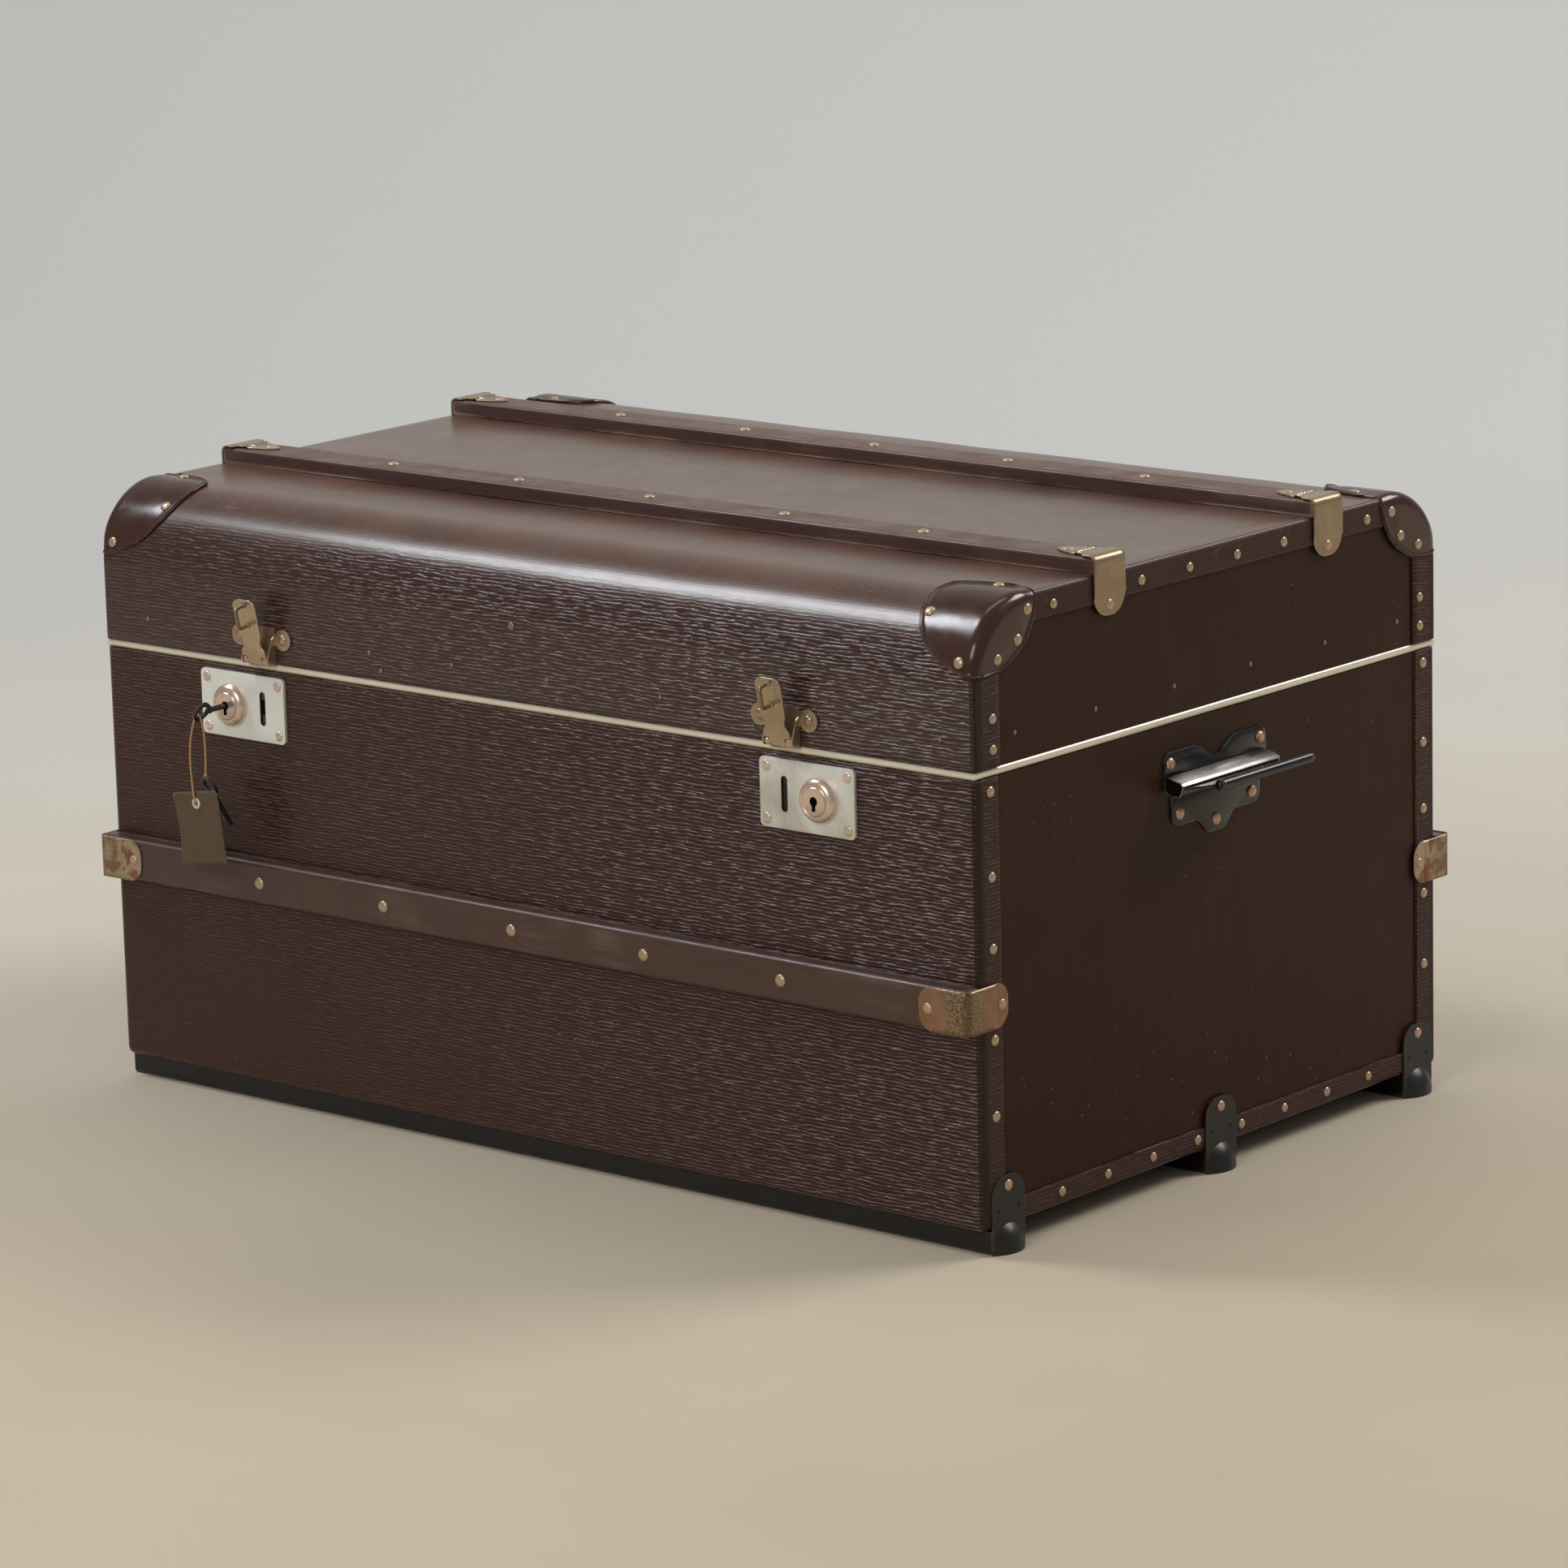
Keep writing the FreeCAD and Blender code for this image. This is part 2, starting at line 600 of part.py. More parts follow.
def lock_boss():
    profile = [(0, 0), (BOSS_RADIUS, 0), (BOSS_RADIUS, BOSS_STEP_HEIGHT), (BOSS_STEP_RADIUS, BOSS_STEP_HEIGHT),
               (BOSS_DISC_RADIUS, BOSS_HEIGHT), (0, BOSS_HEIGHT)]
    boss = revolved(profile, V(BOSS_X, FRONT_Y - PLATE_RISE, LOCK_Z), V(0, -1, 0))
    return boss.cut(keyhole())


def lock_case():
    """The open-fronted lock case in the wall, with the two ribs that guide the bolt."""
    x0 = LOCK_X - CASE_MARGIN
    x1 = x0 + CASE_WIDTH
    front = FRONT_Y - PLATE_RISE + PLATE_SHEET
    back = FRONT_Y + CASE_DEPTH
    half = CASE_HEIGHT / 2
    case = block(x0, x1, front, back, LOCK_Z - half, LOCK_Z + half)
    inner = half - CASE_SHEET
    case = case.cut(block(x0 + CASE_SHEET, x1 - CASE_SHEET, front - 1, back - CASE_SHEET,
                          LOCK_Z - inner, LOCK_Z + inner))
    rib_x0 = LOCK_X + BOLT_SETBACK + 2
    rib_x1 = rib_x0 + BOLT_LENGTH - 2
    reach = BOLT_HEIGHT / 2 + BOLT_CLEARANCE
    rib_y0, rib_y1 = FRONT_Y + BOLT_DEPTH, back - CASE_SHEET
    for low, high in ((-inner, -reach), (reach, inner)):
        case = case.fuse(block(rib_x0, rib_x1, rib_y0, rib_y1, LOCK_Z + low, LOCK_Z + high))
    shelf_y0 = FRONT_Y + BOLT_DEPTH + BOLT_THICKNESS + BOLT_CLEARANCE
    case = case.fuse(block(rib_x0, rib_x1, shelf_y0, rib_y1, LOCK_Z - inner, LOCK_Z + inner))
    seat = V(BOSS_X, back + 1, LOCK_Z)
    case = case.cut(rod(KEY_SHAFT_RADIUS + PIN_CLEARANCE, seat, seat - V(0, CASE_SHEET + 2, 0)))
    return case.removeSplitter()


def lock_bolt():
    """The right bolt, drawn back clear of the hasp slot."""
    tip = LOCK_X + BOLT_SETBACK
    half = BOLT_HEIGHT / 2
    y0 = FRONT_Y + BOLT_DEPTH
    bolt = block(tip, tip + BOLT_LENGTH, y0, y0 + BOLT_THICKNESS, LOCK_Z - half, LOCK_Z + half)
    nose = edges_where(bolt, lambda b: b.XMax < tip + 0.01 and b.YLength > 1)
    return bolt.makeChamfer(BOLT_HEIGHT / 6, nose)


# Hasps


def hasp_axis_point(x):
    return V(x, FRONT_Y - HASP_PIVOT_OFF, HASP_PIVOT_Z)


def hasp(x):
    """A hasp turned up and leaning out, with its staple on the face turned to the viewer."""
    half, waist = HASP_WIDTH / 2, HASP_WAIST / 2
    start, low, high, end = HASP_WAIST_HEIGHTS
    corner = HASP_CORNER
    outline = [(-half, 0, 0), (-half, start, 0), (-waist, low, 0), (-waist, high, 0), (-half, end, 0),
               (-half, HASP_LENGTH - corner, 0), (-half + corner, HASP_LENGTH, 0),
               (half - corner, HASP_LENGTH, 0), (half, HASP_LENGTH - corner, 0), (half, end, 0),
               (waist, high, 0), (waist, low, 0), (half, start, 0), (half, 0, 0)]
    centre = hasp_axis_point(x)
    back = HASP_BARREL_RADIUS - HASP_SHEET
    leaf = rounded_face(outline, lambda u, w: centre + V(u, -back, w)).extrude(V(0, -HASP_SHEET, 0))
    barrel = rod(HASP_BARREL_RADIUS, centre - V(half, 0, 0), centre + V(half, 0, 0))
    body = leaf.fuse(barrel)
    middle = HASP_PIVOT_Z - LOCK_Z
    low, high = middle - STAPLE_LENGTH / 2, middle + STAPLE_LENGTH / 2
    wire = 2 * STAPLE_RADIUS
    inside, out = HASP_BARREL_RADIUS - HASP_SHEET / 2, HASP_BARREL_RADIUS + STAPLE_REACH
    loop = block(-STAPLE_RADIUS, STAPLE_RADIUS, -out, -inside, low, high)
    loop = loop.makeChamfer(STAPLE_RADIUS, edges_where(loop, lambda b: b.YMax < -out + 0.1 and b.XLength > 1))
    loop = loop.cut(block(-wire, wire, -out + wire, 0, low + wire, high - wire))
    loop.translate(centre)
    body = body.fuse(loop)
    reach = V(half + 1, 0, 0)
    body = body.cut(rod(HASP_PIN_RADIUS + PIN_CLEARANCE, centre - reach, centre + reach))
    return turned(body, centre, V(1, 0, 0), HASP_TILT)


def hasp_bracket(x):
    """The riveted bracket of a hasp: a back plate with two round ears, two lugs and the fixed pin."""
    half = BRACKET_INSIDE / 2 + BRACKET_SHEET
    low = -2.2
    z0 = HASP_PIVOT_Z
    neck = EAR_RADIUS * 0.6
    ear_x, ear_z = EAR_SPACING / 2, z0 + EAR_RISE
    bracket = block(x - half, x + half, FRONT_Y - BRACKET_SHEET, FRONT_Y, z0 + low, z0 + BRACKET_HEIGHT)
    bracket = bracket.fuse(block(x - ear_x, x + ear_x, FRONT_Y - BRACKET_SHEET, FRONT_Y,
                                 ear_z - neck, ear_z + neck))
    out = HASP_PIVOT_OFF + HASP_BARREL_RADIUS
    lug = [(0, low, 0), (4, -HASP_BARREL_RADIUS, 0), (out, -HASP_BARREL_RADIUS, 2.5),
           (out, HASP_BARREL_RADIUS, 2.5), (4, EAR_RISE, 0), (0, EAR_RISE + 3, 0)]
    for side in (-1, 1):
        spot = V(x + side * ear_x, FRONT_Y, ear_z)
        bracket = bracket.fuse(rod(EAR_RADIUS, spot, spot - V(0, BRACKET_SHEET, 0)))
        lug_x = x + side * (half - BRACKET_SHEET / 2) - BRACKET_SHEET / 2
        face = rounded_face(lug, lambda off, w: V(lug_x, FRONT_Y - off, z0 + w))
        bracket = bracket.fuse(face.extrude(V(BRACKET_SHEET, 0, 0)))
    reach = V(half, 0, 0)
    pin = rod(HASP_PIN_RADIUS, hasp_axis_point(x) - reach, hasp_axis_point(x) + reach)
    return bracket.fuse(pin).removeSplitter()


# End handles, built on the right end


def handle_plate():
    """The upper handle plate: two ears with a dip between, bent out into a worn hood."""
    half = HANDLE_WIDTH / 2
    top = HANDLE_Z + HANDLE_EAR_TOP
    dip = top - HANDLE_DIP_DEPTH
    foot = HANDLE_Z + HANDLE_FOOT_RISE
    mouth, bottom = HANDLE_DIP_MOUTH / 2, HANDLE_DIP_WIDTH / 2
    across_corner = half - HANDLE_EAR_CORNER
    down_corner = top - HANDLE_EAR_CORNER * 6 / 7
    ears = [(-half, foot, 0), (-half, down_corner, 0), (-across_corner, top, 0), (-mouth, top, 0),
            (-bottom, dip, 0), (bottom, dip, 0), (mouth, top, 0), (across_corner, top, 0),
            (half, down_corner, 0), (half, foot, 0)]
    plate = rounded_face(ears, on_end(0)).extrude(V(HANDLE_SHEET, 0, 0))
    inner = HOOD_RADIUS - HANDLE_SHEET + 0.3

    def polar(radius, degrees):
        angle = math.radians(degrees)
        return V(END_X + HANDLE_AXIS_OFF + radius * math.cos(angle), 0, HANDLE_Z + radius * math.sin(angle))

    upper, lower = 64.0, 32.0
    middle = (upper + lower) / 2
    wall_high = V(END_X, 0, foot + 4.5)
    sheet_high = V(END_X + HANDLE_SHEET, 0, foot + 2.4)
    wall_low = V(END_X, 0, foot)
    edges = [
        Part.LineSegment(wall_high, sheet_high).toShape(),
        Part.LineSegment(sheet_high, polar(HOOD_RADIUS, upper)).toShape(),
        Part.Arc(polar(HOOD_RADIUS, upper), polar(HOOD_RADIUS, middle), polar(HOOD_RADIUS, lower)).toShape(),
        Part.LineSegment(polar(HOOD_RADIUS, lower), polar(inner, lower)).toShape(),
        Part.Arc(polar(inner, lower), polar(inner, middle), polar(inner, upper)).toShape(),
        Part.LineSegment(polar(inner, upper), wall_low).toShape(),
        Part.LineSegment(wall_low, wall_high).toShape(),
    ]
    hood = Part.Face(Part.Wire(edges))
    hood.translate(V(0, -HOOD_WIDTH / 2, 0))
    plate = plate.fuse(hood.extrude(V(0, HOOD_WIDTH, 0)))
    out = HANDLE_AXIS_OFF
    under = HANDLE_Z - GRIP_BARREL_RADIUS
    cheek = [(0, foot, 0), (0, HANDLE_Z - 1, 0), (out - CHEEK_BACK, under, 0), (out + CHEEK_FRONT, under, 0),
             (out + CHEEK_NOSE, HANDLE_Z + CHEEK_FRONT, 0), (out + CHEEK_BACK / 2, HANDLE_Z + CHEEK_RISE, 0)]
    for y in (-HOOD_WIDTH / 2, HOOD_WIDTH / 2 - CHEEK_SHEET):
        web = rounded_face(cheek, lambda s, z: V(END_X + s, y, z)).extrude(V(0, CHEEK_SHEET, 0))
        plate = plate.fuse(web)
    centre = V(END_X + HANDLE_AXIS_OFF, 0, HANDLE_Z)
    reach = V(0, HOOD_WIDTH / 2, 0)
    return plate.fuse(rod(GRIP_PIN_RADIUS, centre - reach, centre + reach)).removeSplitter()


def handle_backplate():
    half = BACKPLATE_WIDTH / 2
    top = HANDLE_Z - BACKPLATE_TOP_DROP
    shoulder, tip = HANDLE_Z - BACKPLATE_SHOULDER_DROP, HANDLE_Z - BACKPLATE_TIP_DROP
    corner, bevel = BACKPLATE_CORNER, BACKPLATE_TIP_BEVEL
    waist, neck, end = BACKPLATE_WAIST / 2, BACKPLATE_NECK / 2, BACKPLATE_TIP / 2
    outline = [(-half, top, 0), (half, top, 0), (half, shoulder + corner, 0), (half - corner, shoulder, 0),
               (waist, shoulder, 0), (neck, tip + bevel, 0), (end, tip, 0), (-end, tip, 0),
               (-neck, tip + bevel, 0), (-waist, shoulder, 0), (-half + corner, shoulder, 0),
               (-half, shoulder + corner, 0)]
    return rounded_face(outline, on_end(0)).extrude(V(HANDLE_SHEET, 0, 0))


def grip():
    """The folding grip: a sheet rolled round the pin at one edge and into a bar at the other."""
    centre = V(END_X + HANDLE_AXIS_OFF, 0, HANDLE_Z)
    half = GRIP_WIDTH / 2
    bar_half = half - GRIP_BAR_RADIUS - 1
    barrel = rod(GRIP_BARREL_RADIUS, centre - V(0, half, 0), centre + V(0, half, 0))
    outline = [(2, -half, 0), (GRIP_REACH, -bar_half - 1, 0), (GRIP_REACH, bar_half + 1, 0), (2, half, 0)]
    low = centre - V(0, 0, HANDLE_SHEET / 2)
    flap = rounded_face(outline, lambda s, y: low + V(s, y, 0)).extrude(V(0, 0, HANDLE_SHEET))
    bar_centre = centre + V(GRIP_REACH, 0, 0)
    body = barrel.fuse(flap)
    bar = rod(GRIP_BAR_RADIUS, bar_centre - V(0, bar_half + 3, 0), bar_centre + V(0, bar_half + 3, 0))
    body = body.fuse(bar)
    reach = V(0, half + 1, 0)
    body = body.cut(rod(GRIP_PIN_RADIUS + PIN_CLEARANCE, centre - reach, centre + reach))
    return turned(body, centre, V(0, 1, 0), -GRIP_TILT)


# Rear hinges


def hinge_leaf(x, on_lid):
    """One leaf with its knuckles; the lid's leaf has the middle knuckle, the base's the outer two."""
    half = HINGE_WIDTH / 2
    inner = HINGE_KNUCKLE / 2
    gap = HINGE_KNUCKLE_GAP / 2
    sign = 1 if on_lid else -1
    spans = [(-inner + gap, inner - gap)] if on_lid else [(-half, -inner - gap), (inner + gap, half)]
    edge = HINGE_AXIS_Z + sign * (HINGE_BARREL_RADIUS - HINGE_SHEET)
    far = edge + sign * HINGE_LEAF
    cut = far - sign * 6
    outline = [(-half, edge, 0), (half, edge, 0), (half, cut, 0), (half - 6, far, 0), (6 - half, far, 0),
               (-half, cut, 0)]
    leaf = rounded_face(outline, lambda u, z: V(x + u, HY, z)).extrude(V(0, HINGE_SHEET, 0))
    web_low = min(edge, edge + sign * HINGE_SHEET)
    for u0, u1 in spans:
        start, end = V(x + u0, HINGE_AXIS_Y, HINGE_AXIS_Z), V(x + u1, HINGE_AXIS_Y, HINGE_AXIS_Z)
        leaf = leaf.fuse(rod(HINGE_BARREL_RADIUS, start, end))
        leaf = leaf.fuse(block(x + u0, x + u1, HY, HINGE_AXIS_Y, web_low, web_low + HINGE_SHEET))
    reach = V(half, 0, 0)
    centre = V(x, HINGE_AXIS_Y, HINGE_AXIS_Z)
    if on_lid:
        bore = rod(HINGE_PIN_RADIUS + PIN_CLEARANCE, centre - reach, centre + reach)
        return leaf.cut(bore).removeSplitter()
    return leaf.fuse(rod(HINGE_PIN_RADIUS, centre - reach, centre + reach)).removeSplitter()


HINGE_X = HX - HINGE_INSET
HINGE_PLACES = (-HINGE_X, HINGE_X)


# Keys, string and tag


def key_blank(shaft, bit_end):
    """A key along +Z from the middle of its bow at the origin; the bow lies in the XZ plane."""
    start = V(0, 0, BOW_INNER + 0.5)
    bow = rod(BOW_OUTER, V(0, -BOW_THICKNESS / 2, 0), V(0, BOW_THICKNESS / 2, 0))
    body = bow.fuse(rod(KEY_SHAFT_RADIUS, start, V(0, 0, shaft)))
    bit = block(0, BIT_REACH, -0.9, 0.9, bit_end - BIT_LENGTH, bit_end)
    ward_low, ward_high = bit_end - BIT_LENGTH * 0.62, bit_end - BIT_LENGTH * 0.35
    bit = bit.cut(block(BIT_REACH - 2.2, BIT_REACH + 1, -2, 2, ward_low, ward_high))
    body = body.fuse(bit)
    return body.cut(rod(BOW_INNER, V(0, -5, 0), V(0, 5, 0))).removeSplitter()


def key():
    """The key in the left lock; the sign of KEY_TURN leans the bit towards the trunk's left."""
    blank = key_blank(KEY_SHAFT_LENGTH + CASE_DEPTH - 0.2, KEY_SHAFT_LENGTH + 7.4)
    # Lay the shaft along +Y with the bit hanging down, then turn it about its own axis.
    blank.rotate(V(0, 0, 0), V(0, 1, 0), 90)
    blank.rotate(V(0, 0, 0), V(0, 0, 1), 90)
    blank.rotate(V(0, 0, 0), V(0, 1, 0), KEY_TURN)
    blank.translate(V(-BOSS_X, FRONT_Y - KEY_SHAFT_LENGTH, LOCK_Z))
    return blank


BOW_PLACE = V(-BOSS_X, FRONT_Y - KEY_SHAFT_LENGTH, LOCK_Z)

# The string's route, chosen by hand from the middle of the key's bow: from the tag's eyelet
# up its left strand, over the lower part of the bow, and down to the spare key's bow.
STRING_ROUTE = [BOW_PLACE + step for step in (
    V(-9.5, -2.5, -74.9), V(-15.9, -1.9, -38.5), V(-7.9, 0.0, -2.75),
    V(-0.7, 0.0, -3.35), V(3.3, 0.0, -27.5), V(1.5, 0.0, -51.9),
)]


def tube_along(route, radius, name):
    """A tube of straight runs and tangent arcs through the route's points."""
    edges = []
    previous = route[0]
    radii = []
    for i in range(1, len(route) - 1):
        back, ahead = route[i - 1] - route[i], route[i + 1] - route[i]
        shorter = min(back.Length, ahead.Length)
        back.normalize()
        ahead.normalize()
        half_turn = (math.pi - back.getAngle(ahead)) / 2
        bend = 0.45 * shorter / math.tan(half_turn)
        radii.append(round(bend, 1))
        start, end = route[i] + back * (0.45 * shorter), route[i] + ahead * (0.45 * shorter)
        middle = back + ahead
        middle.normalize()
        peak = route[i] + middle * (bend / math.cos(half_turn) - bend)
        edges.append(Part.LineSegment(previous, start).toShape())
        edges.append(Part.Arc(start, peak, end).toShape())
        previous = end
    edges.append(Part.LineSegment(previous, route[-1]).toShape())
    path = Part.Wire(edges)
    length = path.Length
    ring = Part.Face(Part.Wire([Part.Circle(route[0], route[1] - route[0], radius).toShape()]))
    tube = path.makePipe(ring)
    share = tube.Volume / (math.pi * radius * radius * length)
    print(name, "length", round(length, 1), "radii", radii, "volume over section times length", round(share, 3))
    return tube


def tag():
    """The card tag, hung by its eyelet and hanging a little askew."""
    eye = STRING_ROUTE[0] + V(0.2, STRING_RADIUS + 0.28, -0.7)
    half = TAG_WIDTH / 2
    top = EYELET_DROP
    cut = TAG_CORNER
    outline = [(-half, top - cut, 0), (cut - half, top, 0), (half - cut, top, 0), (half, top - cut, 0),
               (half, top - TAG_HEIGHT, 0), (-half, top - TAG_HEIGHT, 0)]
    card = rounded_face(outline, lambda u, w: V(u, 0, w)).extrude(V(0, TAG_THICKNESS, 0))
    card = card.cut(rod(EYELET_RADIUS, V(0, -1, 0), V(0, 2, 0)))
    card.rotate(V(0, 0, 0), V(0, -1, 0), TAG_ROLL)
    card.translate(eye)
    return card


def spare_key():
    """The second key, hanging from the string by its bow, its shaft down behind the tag."""
    shaft = SPARE_KEY_LENGTH
    blank = key_blank(shaft, shaft - 1.5)
    blank.rotate(V(0, 0, 0), V(0, 1, 0), 180)
    blank.rotate(V(0, 0, 0), V(1, 0, 0), 28)
    blank.rotate(V(0, 0, 0), V(0, 0, 1), -12)
    end = STRING_ROUTE[-1]
    blank.translate(end + V(0.6, 3.0, -BOW_OUTER - STRING_RADIUS + 1.1))
    return blank


PARTS = {
    "base_wrap": base_wrap(),
    "base_end_left": mirror_x(base_end()),
    "base_end_right": base_end(),
    "base_liner": base_liner(),
    "base_lip": base_lip(),
    "rail_front": rail(),
    "rail_rear": mirror_y(rail()),
    "rail_clips": rail_clips(),
    "batten_front": batten(-BATTEN_SPACING),
    "batten_middle": batten(0),
    "batten_rear": batten(BATTEN_SPACING),
    "foot_caps": foot_caps(),
    "lock_plate_left": mirror_x(lock_plate()),
    "lock_plate_right": lock_plate(),
    "lock_bosses": [mirror_x(lock_boss()), lock_boss()],
    "lock_case_left": mirror_x(lock_case()),
    "lock_case_right": lock_case(),
    "lock_bolt_left": mirror_x(lock_bolt()),
    "lock_bolt_right": lock_bolt(),
    "handle_plate_left": mirror_x(handle_plate()),
    "handle_plate_right": handle_plate(),
    "handle_backplate_left": mirror_x(handle_backplate()),
    "handle_backplate_right": handle_backplate(),
    "grip_left": mirror_x(grip()),
    "grip_right": grip(),
    "hinge_base_leaf_left": hinge_leaf(HINGE_PLACES[0], False),
    "hinge_base_leaf_right": hinge_leaf(HINGE_PLACES[1], False),
    "hinge_lid_leaf_left": hinge_leaf(HINGE_PLACES[0], True),
    "hinge_lid_leaf_right": hinge_leaf(HINGE_PLACES[1], True),
    "lid_wrap": lid_wrap(),
    "lid_end_left": mirror_x(lid_end()),
    "lid_end_right": lid_end(),
    "lid_liner": lid_liner(),
    "lid_bead": lid_bead(),
    "slat_front": slat(SLAT_FRONT_Y),
    "slat_rear": slat(SLAT_REAR_Y),
    "slat_clips": slat_clips(),
    "lid_caps_front": [lid_cap(), mirror_x(lid_cap())],
    "lid_caps_rear": [mirror_y(lid_cap()), mirror_x(mirror_y(lid_cap()))],
    "hasp_bracket_left": hasp_bracket(-LOCK_X),
    "hasp_bracket_right": hasp_bracket(LOCK_X),
    "hasp_left": hasp(-LOCK_X),
    "hasp_right": hasp(LOCK_X),
    "key": key(),
    "spare_key": spare_key(),
    "tag": tag(),
}
# The string is drawn last because it prints its radii.
PARTS["key_string"] = tube_along(STRING_ROUTE, STRING_RADIUS, "key string")

os.makedirs("parts", exist_ok=True)
for name, shape in PARTS.items():
    if isinstance(shape, list):
        shape = Part.makeCompound(shape)
    if not shape.isValid():
        print("not valid:", name)
    shape.exportStep("parts/" + name + ".step")
print(len(PARTS), "nodes")
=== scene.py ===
import math

import bmesh
import bpy
from mathutils import Matrix, Vector, noise


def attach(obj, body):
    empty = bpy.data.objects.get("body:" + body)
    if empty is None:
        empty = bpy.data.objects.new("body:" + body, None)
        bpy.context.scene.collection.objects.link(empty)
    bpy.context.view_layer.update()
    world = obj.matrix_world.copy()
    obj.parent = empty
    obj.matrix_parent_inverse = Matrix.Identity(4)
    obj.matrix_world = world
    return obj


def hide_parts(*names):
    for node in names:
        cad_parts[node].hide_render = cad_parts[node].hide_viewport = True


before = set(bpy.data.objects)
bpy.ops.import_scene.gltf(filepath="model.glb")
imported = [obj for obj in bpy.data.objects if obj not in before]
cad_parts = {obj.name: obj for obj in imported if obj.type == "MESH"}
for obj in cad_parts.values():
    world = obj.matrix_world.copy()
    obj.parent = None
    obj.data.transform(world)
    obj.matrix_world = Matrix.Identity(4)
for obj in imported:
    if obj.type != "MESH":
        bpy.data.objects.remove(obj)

# A closed travelling trunk of brown fibre on three black battens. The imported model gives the
# places and most of the solids. This file adds the lid's folded skin, the moulded caps, clips,
# hasps, lock plates, handle plates, rivets, string and tag, and every finish.

bl_info = {
    "name": "Travelling trunk finish",
    "version": (1, 0, 0),
    "blender": (4, 5, 0),
    "location": "View3D > Sidebar > Trunk",
    "description": "Dresses the packed trunk model with its skins, fittings and finishes",
    "category": "Object",
}

MM = 0.001

# Places in millimetres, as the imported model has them
BOARD_END, SHEET_END, SHEET_FACE = 448.0, 450.0, 293.0
RAIL_FACE, RAIL_HEIGHT = 307.0, 189.0
SLAT_TOP, SLAT_ROWS = 502.0, (-131.0, 146.0)
PLATE_FACE, LOCK_HEIGHT = -296.0, 329.5
PLATE_X, BOSS_X, SLOT_X, HASP_X = 293.0, 305.5, 271.0, 271.0
HASP_PIVOT = (-299.4, 369.5)


def colour(name, text, red, green, blue):
    return bpy.props.FloatVectorProperty(
        name=name, description=text, subtype="COLOR_GAMMA", size=3, min=0.0, max=1.0,
        default=(red / 255, green / 255, blue / 255))


def length(name, text, size):
    return bpy.props.FloatProperty(
        name=name, description=text, subtype="DISTANCE", unit="LENGTH",
        default=size * MM)


class TrunkSizes(bpy.types.PropertyGroup):
    half_length: length("Half length", "Half the length of the body", 450)
    half_depth: length("Half depth", "Half the depth of the body", 293)
    lid_top: length("Lid top", "Height of the lid's flat top", 490)
    lid_foot: length("Lid foot", "Height of the lower edge of the lid's fibre", 367)
    lid_round: length("Lid round", "Radius along the front and rear of the lid", 60)
    fold: length("Fold", "Radius of the folded end rims of the lid", 4)
    fibre_sheet: length("Fibre sheet", "Thickness of the lid's fibre", 1.9)
    cap_rise: length("Cap rise", "Height of the moulded line round a corner cap", 2.15)
    cap_sheet: length("Cap sheet", "Height of a corner cap's smooth middle", 1.5)
    clip_sheet: length("Clip sheet", "Thickness of the bent clips", 1.4)


class TrunkColours(bpy.types.PropertyGroup):
    fibre: colour("Fibre", "Front and rear sheet", 62, 35, 26)
    # The painted highlight on the rib crests of the front and lid, and the faint grain streaks on
    # the end panels
    rib_highlight_and_streak: colour("Light fibre", "Streaks where the fibre is rubbed", 176, 156, 162)
    end_fibre: colour("End fibre", "Smooth end panels", 54, 32, 22)
    dust: colour("Dust", "Settled dust on the lid", 119, 89, 74)
    wood: colour("Wood", "Tops of the slats and rails", 92, 61, 50)
    wood_dark: colour("Dark wood", "Stained sides of the slats and rails", 76, 52, 45)
    wood_worn: colour("Worn wood", "Bare edges of the slats and rails", 176, 154, 138)
    nickel: colour("Nickel", "Clean plated metal", 238, 241, 236)
    nickel_brown: colour("Tarnish", "Tarnished plated metal", 148, 127, 100)
    copper: colour("Copper", "Rivet heads and rubbed plating", 204, 166, 142)
    boss: colour("Boss", "Plating of the lock bosses", 232, 210, 194)
    olive: colour("Olive", "Pale grains on the rail clips", 164, 150, 116)
    rust: colour("Rust", "Plating gone brown and grainy", 140, 98, 70)
    brass: colour("Brass", "Pins and slat clips", 188, 168, 140)
    black: colour("Black", "Enamel and lacquer", 20, 19, 20)
    cap: colour("Cap", "Moulded corner caps", 60, 34, 27)
    lining: colour("Lining", "Boards inside", 168, 140, 104)
    card: colour("Card", "Tag card", 94, 74, 55)
    bead: colour("Bead", "Metal line between lid and base", 236, 228, 210)
    steel: colour("Steel", "Enamel rubbed to bare steel", 200, 194, 190)
    string: colour("String", "Tag string", 200, 154, 106)
    floor: colour("Floor", "Floor under the trunk", 200, 188, 166)
    wall: colour("Wall", "Backdrop", 202, 203, 202)


def tone(name, scale=1.0):
    """A named colour as the shader's linear red, green, blue and alpha."""
    values = getattr(bpy.context.scene.trunk_colours, name)
    line = [v / 12.92 if v <= 0.04045 else ((v + 0.055) / 1.055) ** 2.4 for v in values]
    return tuple(min(1.0, v * scale) for v in line) + (1.0,)


# Shader trees


